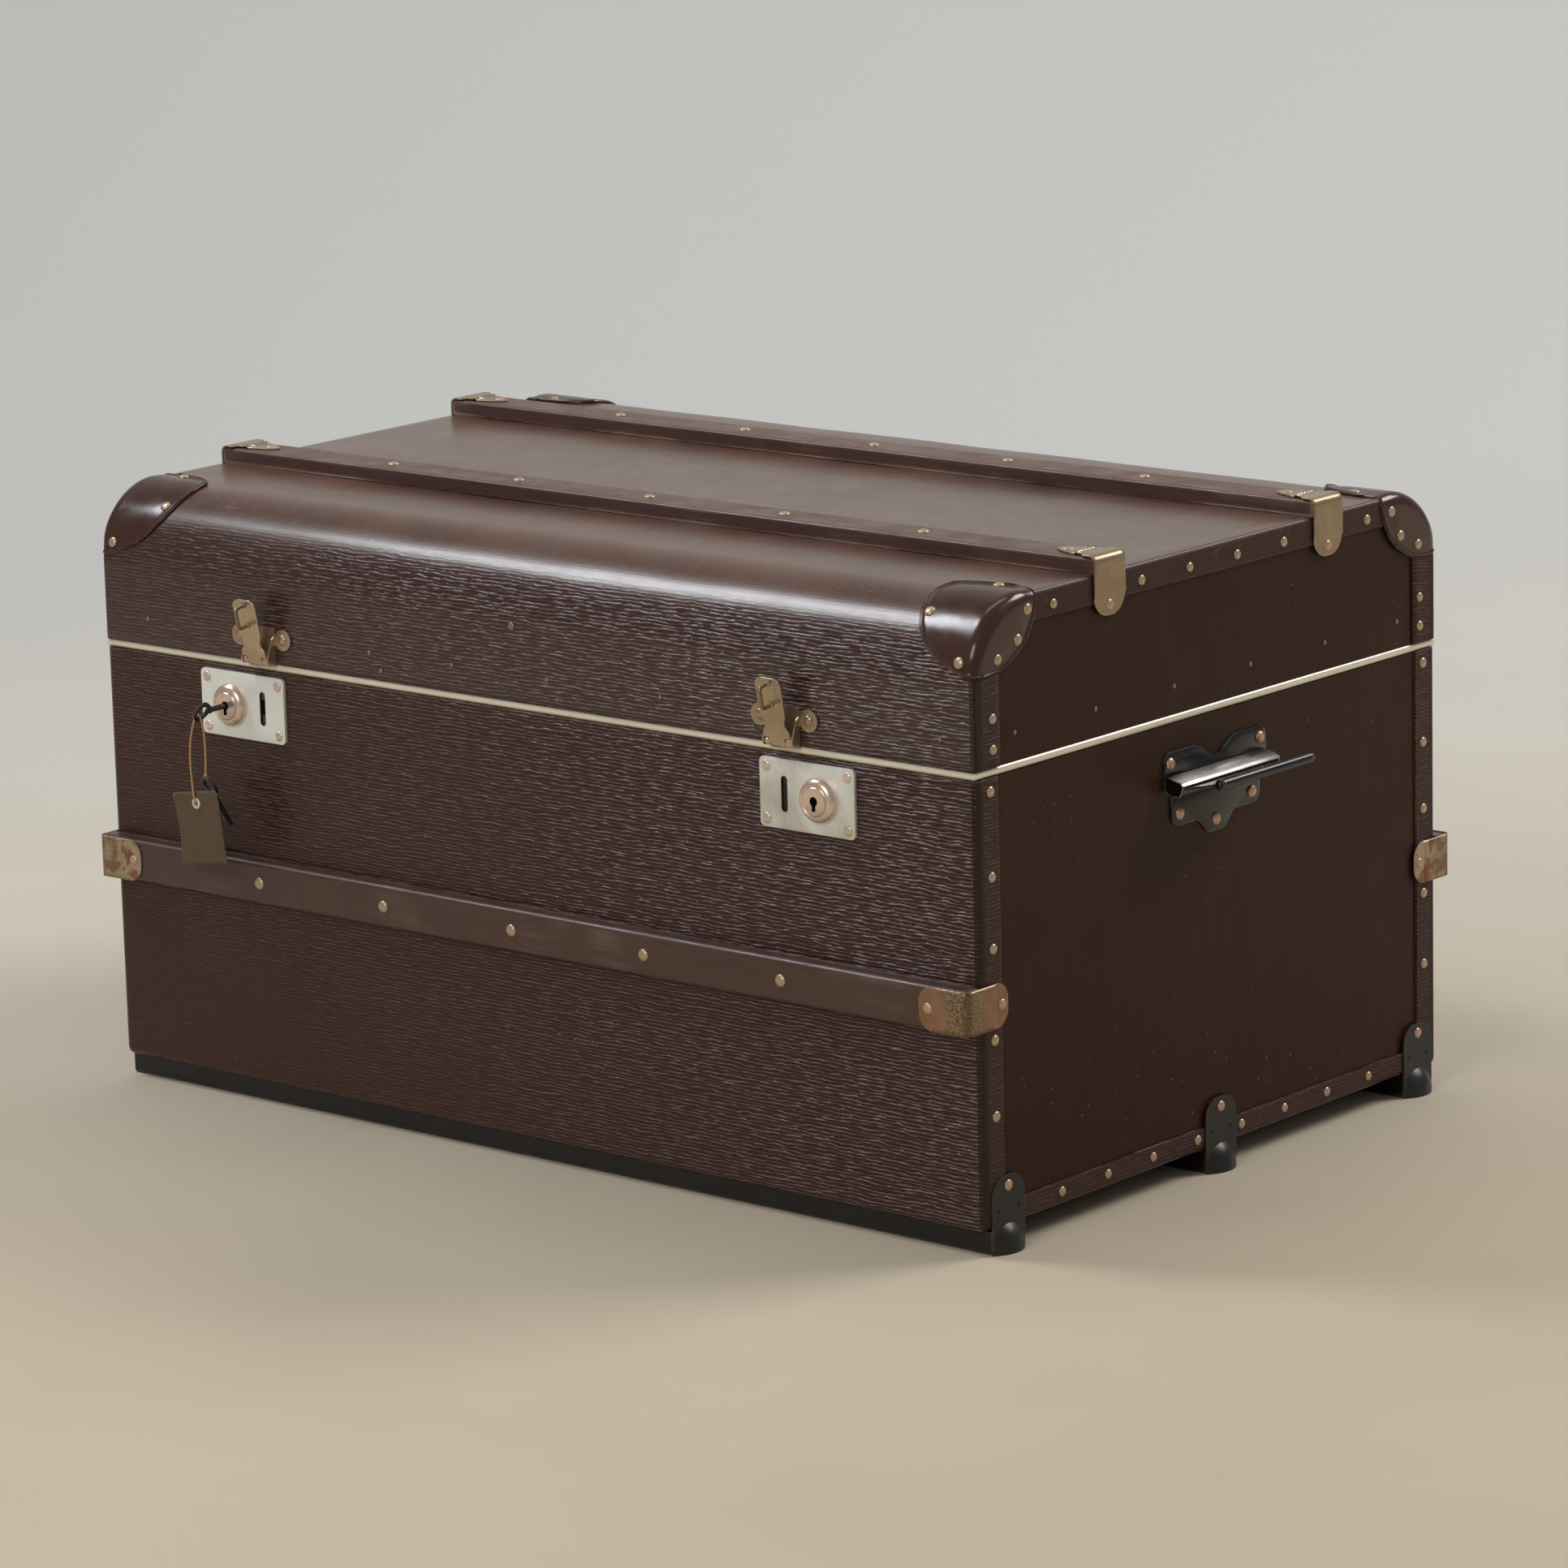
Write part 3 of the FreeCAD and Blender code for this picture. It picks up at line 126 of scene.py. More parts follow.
class Board:
    """A node tree being wired."""

    def __init__(self, tree):
        self.tree = tree

    def feed(self, socket, value):
        """Link a socket to another, or give it a plain value."""
        if isinstance(value, bpy.types.NodeSocket):
            self.tree.links.new(value, socket)
        else:
            socket.default_value = value

    def node(self, kind, inputs=None, **settings):
        made = self.tree.nodes.new(kind)
        for key, value in settings.items():
            setattr(made, key, value)
        for key, value in (inputs or {}).items():
            self.feed(made.inputs[key], value)
        return made

    def math(self, operation, a, b=0.0, clamp=False):
        made = self.node("ShaderNodeMath", {0: a, 1: b}, operation=operation, use_clamp=clamp)
        return made.outputs[0]

    def times(self, a, b, clamp=False):
        return self.math("MULTIPLY", a, b, clamp)

    def mix(self, mask, a, b):
        made = self.node("ShaderNodeMix", {0: mask, 6: a, 7: b}, data_type="RGBA")
        return made.outputs[2]

    def paint(self, base, mask, amount, shade):
        """Lay a shade over the base where the mask is bright."""
        return self.mix(self.times(mask, amount), base, shade)

    def span(self, value, low, high, to_low=0.0, to_high=1.0):
        inputs = {0: value, 1: low, 2: high, 3: to_low, 4: to_high}
        return self.node("ShaderNodeMapRange", inputs).outputs[0]

    def place(self):
        return self.node("ShaderNodeTexCoord").outputs["Object"]

    def chart(self):
        return self.node("ShaderNodeTexCoord").outputs["UV"]

    def axis(self, letter):
        return self.node("ShaderNodeSeparateXYZ", {0: self.place()}).outputs[letter]

    def off_middle(self, letter):
        """Distance from the trunk's middle plane, in metres."""
        return self.math("ABSOLUTE", self.axis(letter))

    def stretched(self, scale, turn=(0, 0, 0)):
        inputs = {"Vector": self.place(), "Scale": scale, "Rotation": turn}
        return self.node("ShaderNodeMapping", inputs).outputs[0]

    def noise(self, scale, detail=5.0, rough=0.55, distortion=0.0, vector=None):
        inputs = {"Vector": vector or self.place(), "Scale": scale, "Detail": detail,
                  "Roughness": rough, "Distortion": distortion}
        return self.node("ShaderNodeTexNoise", inputs).outputs[0]

    def wander(self, scale, detail, low, high, rough=0.55, start=0.35):
        """A value that wanders between low and high."""
        return self.span(self.noise(scale, detail, rough), start, 0.7, low, high)

    def use(self, name, output="Mask", **inputs):
        """Place a shared group; underscores in input names stand for spaces."""
        made = self.node("ShaderNodeGroup", node_tree=bpy.data.node_groups[name])
        for key, value in inputs.items():
            self.feed(made.inputs[key.replace("_", " ")], value)
        return made.outputs[output]


def shared_group(name, inputs, outputs, wire):
    tree = bpy.data.node_groups.new(name, "ShaderNodeTree")
    face = tree.interface
    for label, default in inputs.items():
        socket = face.new_socket(name=label, in_out="INPUT", socket_type="NodeSocketFloat")
        socket.default_value = default
    for label in outputs:
        face.new_socket(name=label, in_out="OUTPUT", socket_type="NodeSocketFloat")
    board = Board(tree)
    start = board.node("NodeGroupInput")
    end = board.node("NodeGroupOutput")
    for label, socket in wire(board, start.outputs).items():
        tree.links.new(socket, end.inputs[label])


def wire_edge_wear(b, given):
    """Bright where two faces meet, broken up by patches."""
    soft = b.node("ShaderNodeBevel", {"Radius": given["Radius"]}, samples=6).outputs[0]
    hard = b.node("ShaderNodeNewGeometry").outputs["Normal"]
    dot = b.node("ShaderNodeVectorMath", {0: soft, 1: hard}, operation="DOT_PRODUCT")
    bend = b.span(b.math("SUBTRACT", 1.0, dot.outputs["Value"]), 0.015, 0.16)
    broken = b.span(b.noise(given["Patch"], 6.0, 0.65), 0.38, 0.62)
    return {"Mask": b.times(b.times(bend, broken), given["Amount"], clamp=True)}


def wire_patches(b, given):
    """Soft clouds; Low and High say how much they cover and how sharp their edges are."""
    cloud = b.noise(given["Scale"], 7.0, 0.62, 0.4)
    return {"Mask": b.span(cloud, given["Low"], given["High"])}


def wire_scratches(b, given):
    """Thin broken lines in two directions."""
    lines = []
    for turn, scale in ((0.35, (9, 1.1, 3)), (-0.9, (1.4, 8, 3))):
        field = b.noise(given["Scale"], 3.0, 0.5, 0.3, b.stretched(scale, (0, 0, turn)))
        line = b.span(b.math("ABSOLUTE", b.math("SUBTRACT", field, 0.5)), 0.0, 0.006, 1.0, 0.0)
        gate = b.span(b.noise(given["Scale"], 2.0, 0.5), 0.5, 0.62)
        lines.append(b.times(line, gate))
    return {"Mask": b.times(b.math("MAXIMUM", *lines), given["Amount"], clamp=True)}


def wire_wavy_grain(b, given):
    """Long wavy lines; the three stretches say how fine the grain is along each axis."""
    stretches = {0: given["Along X"], 1: given["Along Y"], 2: given["Along Z"]}
    vector = b.node("ShaderNodeCombineXYZ", stretches).outputs[0]
    scaled = b.node("ShaderNodeVectorMath", {0: b.place(), 1: vector}, operation="MULTIPLY")
    broad = b.noise(1.0, 3.0, 0.5, 0.9, scaled.outputs[0])
    fine = b.noise(3.7, 4.0, 0.6, 0.5, scaled.outputs[0])
    height = b.math("ADD", b.times(broad, 0.65), b.times(fine, 0.35))
    return {"Height": height, "Mask": b.span(height, 0.47, 0.66)}


def wire_ribs(b, given):
    """Long wavy pressed lines that run together here and there.

    U runs along them and V across, in metres; Across is the number of lines in a metre.
    """

    def field(along, across, detail):
        inputs = {0: b.times(given["U"], along), 1: b.times(given["V"], across), 2: 0.0}
        vector = b.node("ShaderNodeCombineXYZ", inputs).outputs[0]
        return b.math("SUBTRACT", b.noise(1.0, detail, 0.5, 0.0, vector), 0.5)

    bend = b.math("ADD", b.times(field(24.0, 90.0, 2.0), given["Bend"]),
                  b.times(field(110.0, 230.0, 1.0), 0.75))
    phase = b.math("ADD", b.times(given["V"], given["Across"]), bend)
    wave = b.math("SINE", b.times(phase, math.tau))
    gate = b.span(field(75.0, 300.0, 1.0), -0.14, 0.1, 0.25, 1.0)
    return {"Height": b.times(b.span(wave, -0.5, 0.9), gate),
            "Mask": b.times(b.span(wave, 0.3, 0.9), gate)}


def wire_speckle(b, given):
    """Scattered dots, kept only where a broad cloud lets them through."""
    inputs = {"Vector": b.place(), "Scale": given["Scale"]}
    cells = b.node("ShaderNodeTexVoronoi", inputs, feature="F1").outputs["Distance"]
    dot = b.span(cells, given["Size"], 0.0)
    gate = b.span(b.noise(given["Gate"], 3.0), 0.5, 0.6)
    return {"Mask": b.times(dot, gate, clamp=True)}


def build_groups():
    mask, relief = ["Mask"], ["Height", "Mask"]
    shared_group("Edge wear", {"Radius": 0.0012, "Patch": 70.0, "Amount": 1.0}, mask,
                 wire_edge_wear)
    shared_group("Patches", {"Scale": 8.0, "Low": 0.4, "High": 0.65}, mask, wire_patches)
    shared_group("Scratches", {"Scale": 6.0, "Amount": 1.0}, mask, wire_scratches)
    shared_group("Wavy grain", {"Along X": 2.0, "Along Y": 2.0, "Along Z": 60.0}, relief,
                 wire_wavy_grain)
    shared_group("Pressed ribs", {"U": 0.0, "V": 0.0, "Bend": 1.7, "Across": 345.0}, relief,
                 wire_ribs)
    shared_group("Speckle", {"Scale": 120.0, "Size": 0.16, "Gate": 9.0}, mask, wire_speckle)


# Finishes. The places that they follow on the trunk are in metres.


HALF_LENGTH, HALF_DEPTH, RAIL_DEPTH = SHEET_END * MM, SHEET_FACE * MM, RAIL_FACE * MM
RIM_START = (0.4484, 0.4492)  # along X, where the sheet turns over onto the ends
# CORNER_SHADE: how far the painted shade on the upright corner folds reaches.
CORNER_SHADE = (0.0098, 0.0088)  # from the faces, where the upright folds turn dark
DUST_RISE = (0.462, 0.4885)  # heights over which dust gathers on the lid
RIB_FADE = (0.438, 0.474)  # heights over which the lid's ribs flatten out
SLAT_EDGE = (0.4996, 0.5016)  # heights over which a slat's side turns into its top
HOOD_FOOT = (0.4490, 0.4515)  # along X, where a handle's hood leaves its plate
# HOOD_SHINE spans the painted highlight on the hood's bare steel.
HOOD_SHINE = (0.4530, 0.4600)  # along X, from its dark foot to its bright bend
HOOD_EDGE = (0.3128, 0.3150)  # heights over which its rolled edge turns dark

FINISHES = {}


def start_finish(name):
    """A new material with an empty tree, ready to be wired."""
    made = bpy.data.materials.new(name)
    made.use_nodes = True
    made.node_tree.nodes.clear()
    FINISHES[name] = (made, Board(made.node_tree))
    return FINISHES[name][1]


def finish(name, base, roughness, metallic=0.0, height=None, bump=0.3, distance=0.0006,
           **constants):
    """End a material; base, roughness, metallic and height are sockets or plain values."""
    b = FINISHES[name][1]
    inputs = {"Base Color": base, "Roughness": roughness, "Metallic": metallic}
    for key, value in constants.items():
        inputs[key.replace("_", " ")] = value
    if height is not None:
        relief = {"Height": height, "Strength": bump, "Distance": distance}
        inputs["Normal"] = b.node("ShaderNodeBump", relief).outputs[0]
    shader = b.node("ShaderNodeBsdfPrincipled", inputs)
    b.node("ShaderNodeOutputMaterial", {0: shader.outputs[0]})


def material(name):
    return FINISHES[name][0]


def pressed_fibre(name, on_lid):
    """Brown fibre with pressed ribs, painted highlights on their crests and painted shade in their
    valleys; the lid's ribs follow its UV map, the base's its place.
    """
    b = start_finish(name)
    if on_lid:
        along, across = b.node("ShaderNodeSeparateXYZ", {0: b.chart()}).outputs[:2]
        low = b.math("SUBTRACT", 1.0, b.times(b.span(b.axis("Z"), *RIB_FADE), 0.94))
    else:
        along, across = b.math("ADD", b.axis("X"), b.axis("Y")), b.axis("Z")
        low = 1.0
    height = b.use("Pressed ribs", "Height", U=along, V=across)
    crest = b.use("Pressed ribs", U=along, V=across)
    # uneven sets how strongly the painted highlight and painted shade show on the ribs: stronger
    # towards the right and the top, where the lamps catch them, weaker on the end strips. It also
    # flattens the ribs' relief where it is low.
    broad = b.times(b.math("SUBTRACT", b.noise(4.0, 4.0, 0.6), 0.5), 0.9)
    slant = b.math("ADD", b.axis("X"), b.times(b.axis("Z"), 0.9))
    uneven = b.span(b.math("ADD", slant, broad), -0.3, 0.75, 0.08, 1.0)
    uneven = b.times(uneven, b.span(b.off_middle("X"), *RIM_START, 1.0, 0.3))
    # Painted highlight on the rib crests.
    crest_highlight = b.times(b.times(crest, low), b.times(uneven, 0.62))
    # Painted shade in the valleys between the ribs.
    valley_shade = b.times(b.math("SUBTRACT", 1.0, height), b.times(low, b.times(uneven, 0.7)))
    base = b.mix(valley_shade, tone("fibre"), tone("fibre", 0.5))
    base = b.mix(crest_highlight, base, tone("rib_highlight_and_streak"))
    patches = b.use("Patches", Scale=4.0, Low=0.42, High=0.7)
    base = b.paint(base, patches, 0.25, tone("fibre", 0.7))
    # The upright folds at the corners are darkened by painted shade, and rubbed thin so that their
    # ribs are gone.
    side = b.math("SUBTRACT", HALF_LENGTH, b.off_middle("X"))
    face = b.math("SUBTRACT", HALF_DEPTH, b.off_middle("Y"))
    corner = b.span(b.math("MAXIMUM", b.times(side, 2.4), face), *CORNER_SHADE)
    base = b.paint(base, corner, 0.8, tone("fibre", 0.28))
    wear = b.use("Edge wear", Radius=0.0022, Patch=30.0)
    base = b.paint(base, wear, 0.4, tone("wood_worn"))
    specks = b.use("Speckle", Scale=70.0, Size=0.1, Gate=8.0)
    base = b.paint(base, specks, 0.5, tone("wood_worn"))
    rough = b.wander(26.0, 5.0, 0.24, 0.32)
    if on_lid:
        # Dust lies on the lid's top and thins out over the roundover.
        high = b.span(b.axis("Z"), *DUST_RISE)
        settled = b.times(high, b.span(b.noise(9.0, 8.0, 0.7), 0.3, 0.72, 0.25, 0.65))
        settled = b.times(settled, b.span(b.off_middle("X"), *RIM_START, 1.0, 0.1))
        base = b.mix(settled, base, tone("dust"))
        scratches = b.use("Scratches", Scale=5.0, Amount=0.15)
        base = b.paint(base, high, scratches, tone("wood_worn"))
        crumbs = b.use("Speckle", Scale=150.0, Size=0.14, Gate=7.0)
        base = b.paint(base, high, crumbs, tone("wood_worn"))
        rough = b.math("ADD", rough, b.times(settled, 0.2))
    rim = b.span(b.off_middle("X"), *RIM_START)
    rough = b.math("ADD", rough, b.times(rim, 0.25))
    coat = b.span(rim, 0.0, 1.0, 0.5 if on_lid else 0.04, 0.0)
    base = b.paint(base, rim, 0.35, tone("fibre", 0.7))
    pressed = b.times(b.times(height, low), b.math("SUBTRACT", 1.0, corner))
    pressed = b.times(pressed, b.span(uneven, 0.0, 1.0, 0.4, 1.0))
    relief = b.math("ADD", pressed, b.times(b.noise(240.0, 3.0), 0.1))
    finish(name, base, rough, height=relief, bump=1.0, distance=0.0006,
           Specular_IOR_Level=0.3, Coat_Weight=coat, Coat_Roughness=0.2)


def fibre_end():
    """Smooth end panels with a faint upright grain and a few specks."""
    b = start_finish("fibre_end")
    grain = {"Along_X": 20.0, "Along_Y": 190.0, "Along_Z": 9.0}
    mask = b.use("Wavy grain", **grain)
    base = b.paint(tone("end_fibre"), mask, 0.025, tone("rib_highlight_and_streak", 0.6))
    patches = b.use("Patches", Scale=6.0, Low=0.45, High=0.7)
    base = b.paint(base, patches, 0.3, tone("end_fibre", 0.6))
    specks = b.use("Speckle", Scale=90.0, Size=0.1, Gate=7.0)
    base = b.paint(base, specks, 0.6, tone("wood_worn"))
    finish("fibre_end", base, b.wander(20.0, 5.0, 0.3, 0.4),
           height=b.use("Wavy grain", "Height", **grain), bump=0.07, distance=0.0005,
           Specular_IOR_Level=0.12)


def slat_wood():
    """Stained wood with bare, rubbed edges; the tops are lighter than the sides."""
    b = start_finish("slat_wood")
    stretch = {"Along_X": 6.0, "Along_Y": 170.0, "Along_Z": 170.0}
    grain = b.use("Wavy grain", **stretch)
    top = b.paint(tone("wood"), grain, 0.4, tone("wood", 0.6))
    side = b.paint(tone("wood_dark"), grain, 0.4, tone("wood_dark", 0.5))
    base = b.mix(b.span(b.axis("Z"), *SLAT_EDGE), side, top)
    patches = b.use("Patches", Scale=14.0, Low=0.5, High=0.7)
    base = b.paint(base, patches, 0.35, tone("wood_dark", 0.7))
    bands = b.times(grain, b.span(b.noise(9.0, 3.0, 0.6), 0.5, 0.62))
    base = b.paint(base, bands, 0.3, tone("wood_worn", 0.7))
    wear = b.use("Edge wear", Radius=0.0042, Patch=9.0, Amount=0.9)
    base = b.mix(wear, base, tone("wood_worn"))
    dots = b.use("Speckle", Scale=310.0, Size=0.3, Gate=30.0)
    base = b.paint(base, dots, 0.25, tone("wood_worn", 0.7))
    finish("slat_wood", base, b.wander(30.0, 5.0, 0.3, 0.48),
           height=b.use("Wavy grain", "Height", **stretch), bump=0.35, distance=0.0005)


def black_batten():
    """Black lacquered wood, worn along its edges."""
    b = start_finish("black_batten")
    patches = b.use("Patches", Scale=25.0, Low=0.5, High=0.75)
    base = b.mix(patches, tone("black", 0.8), tone("black", 1.8))
    wear = b.use("Edge wear", Radius=0.0015, Patch=40.0, Amount=0.7)
    base = b.mix(wear, base, tone("wood_worn", 0.7))
    lines = b.use("Wavy grain", "Height", Along_X=5.0, Along_Y=140.0, Along_Z=140.0)
    finish("black_batten", base, b.wander(40.0, 4.0, 0.22, 0.42), height=lines, bump=0.25,
           distance=0.0004)


def plated(name, clean, stain, rub, amount, rough, metal=0.7, wear=0.8):
    """Plated metal with stained clouds, rubbed edges and fine pitting.

    clean, stain and rub are colours, amount is how much is stained, and rough is a pair.
    """
    b = start_finish(name)
    cloud = b.use("Patches", Scale=16.0, Low=0.38, High=0.72)
    base = b.paint(tone(clean), cloud, amount, tone(stain))
    edges = b.use("Edge wear", Radius=0.0014, Patch=60.0, Amount=wear)
    base = b.mix(edges, base, tone(rub))
    pits = b.use("Speckle", Scale=420.0, Size=0.2, Gate=60.0)
    base = b.paint(base, pits, 0.15, tone(stain, 0.5))
    finish(name, base, b.wander(90.0, 6.0, *rough, rough=0.6, start=0.3), metallic=metal,
           height=b.noise(120.0, 3.0), bump=0.05, distance=0.0003)


def rail_plate():
    """Copper ends; towards the corner fold the plating is grainy and olive, and darkest in it."""
    b = start_finish("rail_plate")
    from_side = b.math("SUBTRACT", HALF_LENGTH, b.off_middle("X"))
    from_face = b.math("SUBTRACT", RAIL_DEPTH, b.off_middle("Y"))
    fold = b.math("MAXIMUM", from_side, from_face)
    uneven = b.times(b.math("SUBTRACT", b.noise(60.0, 4.0, 0.6), 0.5), 0.03)
    middle = b.span(b.math("ADD", fold, uneven), 0.028, 0.012)
    # Only the clip at the right front has lost its nickel.
    bare = b.times(b.span(b.axis("X"), -0.1, 0.1), b.span(b.axis("Y"), 0.1, -0.1))
    spots = b.use("Patches", Scale=60.0, Low=0.4, High=0.65)
    copper = b.paint(tone("rust"), spots, 0.6, tone("copper", 0.62))
    flakes = b.use("Patches", Scale=45.0, Low=0.5, High=0.56)
    kept = b.mix(flakes, tone("brass", 0.8), tone("rust", 0.9))
    base = b.mix(bare, kept, copper)
    grains = b.span(b.noise(900.0, 2.0, 0.6), 0.44, 0.58)
    sand = b.mix(grains, tone("rust", 0.28), tone("olive"))
    base = b.paint(base, middle, b.span(bare, 0.0, 1.0, 0.3, 0.85), sand)
    base = b.paint(base, b.span(fold, 0.006, 0.0), 0.5, tone("rust", 0.25))
    edges = b.use("Edge wear", Radius=0.0014, Patch=60.0, Amount=0.8)
    base = b.mix(edges, base, tone("copper"))
    finish("rail_plate", base, b.wander(90.0, 5.0, 0.3, 0.45, rough=0.6, start=0.3),
           metallic=0.5, height=b.noise(900.0, 2.0, 0.6), bump=0.2, distance=0.0003)


def enamel(name, key, scale, rub, amount, rough):
    """Glossy enamel with rubbed edges."""
    b = start_finish(name)
    patches = b.use("Patches", Scale=30.0, Low=0.45, High=0.75)
    base = b.mix(patches, tone(key, scale), tone(key, scale * 1.3))
    wear = b.use("Edge wear", Radius=0.0012, Patch=75.0, Amount=amount)
    base = b.mix(wear, base, tone(rub))
    finish(name, base, b.wander(60.0, 5.0, *rough, start=0.3), metallic=b.times(wear, 0.7),
           height=b.noise(130.0, 4.0), bump=0.08, distance=0.0003)


def hood_steel():
    """Enamel worn to brushed steel along the bent strip, dark again under the rolled edge; a
    painted highlight brightens the bare steel towards the bend.
    """
    b = start_finish("hood_steel")
    streak = b.noise(1.0, 5.0, 0.65, 0.0, b.stretched((520, 15, 520)))
    bare = b.times(b.span(streak, 0.22, 0.5, 0.35, 1.0), b.span(b.axis("Z"), *HOOD_EDGE))
    bare = b.times(bare, b.span(b.off_middle("X"), *HOOD_FOOT))
    # Painted highlight: the bare steel goes from nearly black at its foot to bright at the bend.
    steel_highlight = b.times(b.span(b.off_middle("X"), *HOOD_SHINE, 0.12, 1.0),
                  b.span(streak, 0.3, 0.7, 0.6, 1.0))
    metal = b.mix(steel_highlight, tone("black", 1.5), tone("steel"))
    finish("hood_steel", b.mix(bare, tone("black"), metal),
           b.span(streak, 0.3, 0.7, 0.34, 0.24), metallic=b.times(bare, 0.75), height=streak,
           bump=0.15, distance=0.0003)


def lining_board():
    """Tan pasteboard inside the trunk."""
    b = start_finish("lining_board")
    fibres = b.noise(1.0, 5.0, 0.6, 0.4, b.stretched((90, 90, 300)))
    base = b.paint(tone("lining"), fibres, 0.35, tone("lining", 0.6))
    patches = b.use("Patches", Scale=7.0, Low=0.5, High=0.75)
    base = b.paint(base, patches, 0.4, tone("lining", 0.45))
    finish("lining_board", base, b.span(fibres, 0.3, 0.7, 0.75, 0.92), height=fibres,
           bump=0.2, distance=0.0003)


def tag_card():
    """Dull card, soiled in patches and pale along its edges."""
    b = start_finish("tag_card")
    fibres = b.noise(420.0, 4.0, 0.6)
    base = b.paint(tone("card"), fibres, 0.3, tone("card", 0.6))
    patches = b.use("Patches", Scale=55.0, Low=0.45, High=0.75)
    base = b.paint(base, patches, 0.35, tone("card", 0.5))
    wear = b.use("Edge wear", Radius=0.0012, Patch=160.0, Amount=0.9)
    base = b.mix(wear, base, tone("wall"))
    finish("tag_card", base, 0.72, height=fibres, bump=0.2, distance=0.0002)


def tan_string():
    """Twisted string; the plies follow the string's UV map."""
    b = start_finish("tan_string")
    twist = b.node("ShaderNodeMapping", {"Vector": b.chart(), "Scale": (60.0, 3.0, 1.0)})
    parts = b.node("ShaderNodeSeparateXYZ", {0: twist.outputs[0]}).outputs
    phase = b.math("SINE", b.times(b.math("ADD", parts[0], parts[1]), math.tau))
    ply = b.span(phase, -1.0, 1.0)
    fibres = b.noise(900.0, 3.0)
    # The grooves between the plies are darker: painted shade.
    base = b.mix(ply, tone("string", 0.45), tone("string"))
    base = b.paint(base, fibres, 0.3, tone("string", 1.4))
    finish("tan_string", base, 0.8, height=b.math("ADD", ply, b.times(fibres, 0.4)),
           bump=0.6, distance=0.0004, Sheen_Weight=0.3)


def stage_paint():
    """Plain floor paint that greys with distance into the backdrop, with faint stains."""
    b = start_finish("floor_paint")
    turn = math.radians(CAMERA_TURN)
    away = b.math("ADD", b.times(b.axis("X"), -math.sin(turn)),
                  b.times(b.axis("Y"), math.cos(turn)))
    far = b.span(away, -0.4, 2.6)
    base = b.mix(far, tone("floor"), tone("wall"))
    clouds = b.span(b.noise(1.6, 7.0, 0.6), 0.42, 0.7, 0.0, 0.16)
    stain = b.times(clouds, b.math("SUBTRACT", 1.0, far))
    base = b.mix(stain, base, tone("floor", 0.55))
    finish("floor_paint", base, 0.8, height=b.noise(40.0, 6.0), bump=0.05, distance=0.001)


def mottled(name, scale, rough, dark, light):
    """A plain dull finish that varies a little from place to place."""
    b = start_finish(name)
    finish(name, b.mix(b.noise(scale), dark, light), rough)


def build_finishes():
    build_groups()
    pressed_fibre("fibre_front", False)
    pressed_fibre("fibre_lid", True)
    fibre_end()
    slat_wood()
    black_batten()
    plated("slat_plate", "nickel_brown", "brass", "nickel", 0.6, (0.24, 0.36), metal=0.6)
    plated("clean_nickel", "nickel", "nickel_brown", "brass", 0.08, (0.34, 0.46), metal=0.25)
    plated("brown_nickel", "nickel", "nickel_brown", "copper", 0.65, (0.34, 0.5), metal=0.4)
    plated("hasp_plate", "brass", "nickel_brown", "nickel", 0.8, (0.24, 0.32), metal=0.8,
           wear=0.5)
    rail_plate()
    plated("copper_plate", "copper", "nickel_brown", "nickel", 0.35, (0.28, 0.42), metal=0.55)
    plated("boss_plate", "boss", "nickel_brown", "nickel", 0.35, (0.25, 0.31), metal=0.8,
           wear=0.0)
    plated("lock_rivet", "boss", "nickel_brown", "nickel", 0.5, (0.25, 0.35), metal=0.5,
           wear=0.3)
    plated("brass_plate", "brass", "copper", "nickel", 0.6, (0.28, 0.4), metal=0.65)
    plated("pin_plate", "nickel_brown", "rust", "brass", 0.6, (0.3, 0.4))
    plated("bead_metal", "bead", "nickel_brown", "bead", 0.06, (0.25, 0.35), metal=0.3)
    plated("wire_steel", "nickel_brown", "rust", "nickel", 0.5, (0.25, 0.36), metal=0.8)
    enamel("black_enamel", "black", 0.7, "nickel", 0.5, (0.14, 0.26))
    # Painted shade for the insides of the lock slots and keyholes, and for the bolts behind the
    # slots.
    enamel("hollow_shade", "black", 0.25, "black", 0.0, (0.7, 0.8))
    hood_steel()
    enamel("black_steel", "black", 1.3, "nickel_brown", 0.5, (0.28, 0.45))
    enamel("corner_cap", "cap", 1.0, "wood_worn", 0.35, (0.15, 0.27))
    enamel("dark_key", "black", 1.2, "copper", 0.6, (0.25, 0.45))
    lining_board()
    tag_card()
    tan_string()
    stage_paint()
    mottled("eyelet_paint", 300.0, 0.5, tone("wall", 1.4), tone("wall", 0.8))
    # Painted shade for the holes in the foot caps.
    mottled("hole_shade", 200.0, 0.9, tone("black", 0.2), tone("black", 0.6))


# Mesh helpers. Shapes are drawn in millimetres and stored in metres.


def millimetres(name):
    """A size from the panel."""
    return getattr(bpy.context.scene.trunk_sizes, name) / MM


def side_name(side):
    return "left" if side < 0 else "right"


def arc(u, v, radius, start, stop, steps):
    """Points of an arc between two angles in degrees, both ends among them."""
    angles = [math.radians(start + (stop - start) * k / steps) for k in range(steps + 1)]
    return [(u + radius * math.cos(a), v + radius * math.sin(a)) for a in angles]


def circle(u, v, radius, count=24):
    return arc(u, v, radius, 0, 360, count)[:-1]


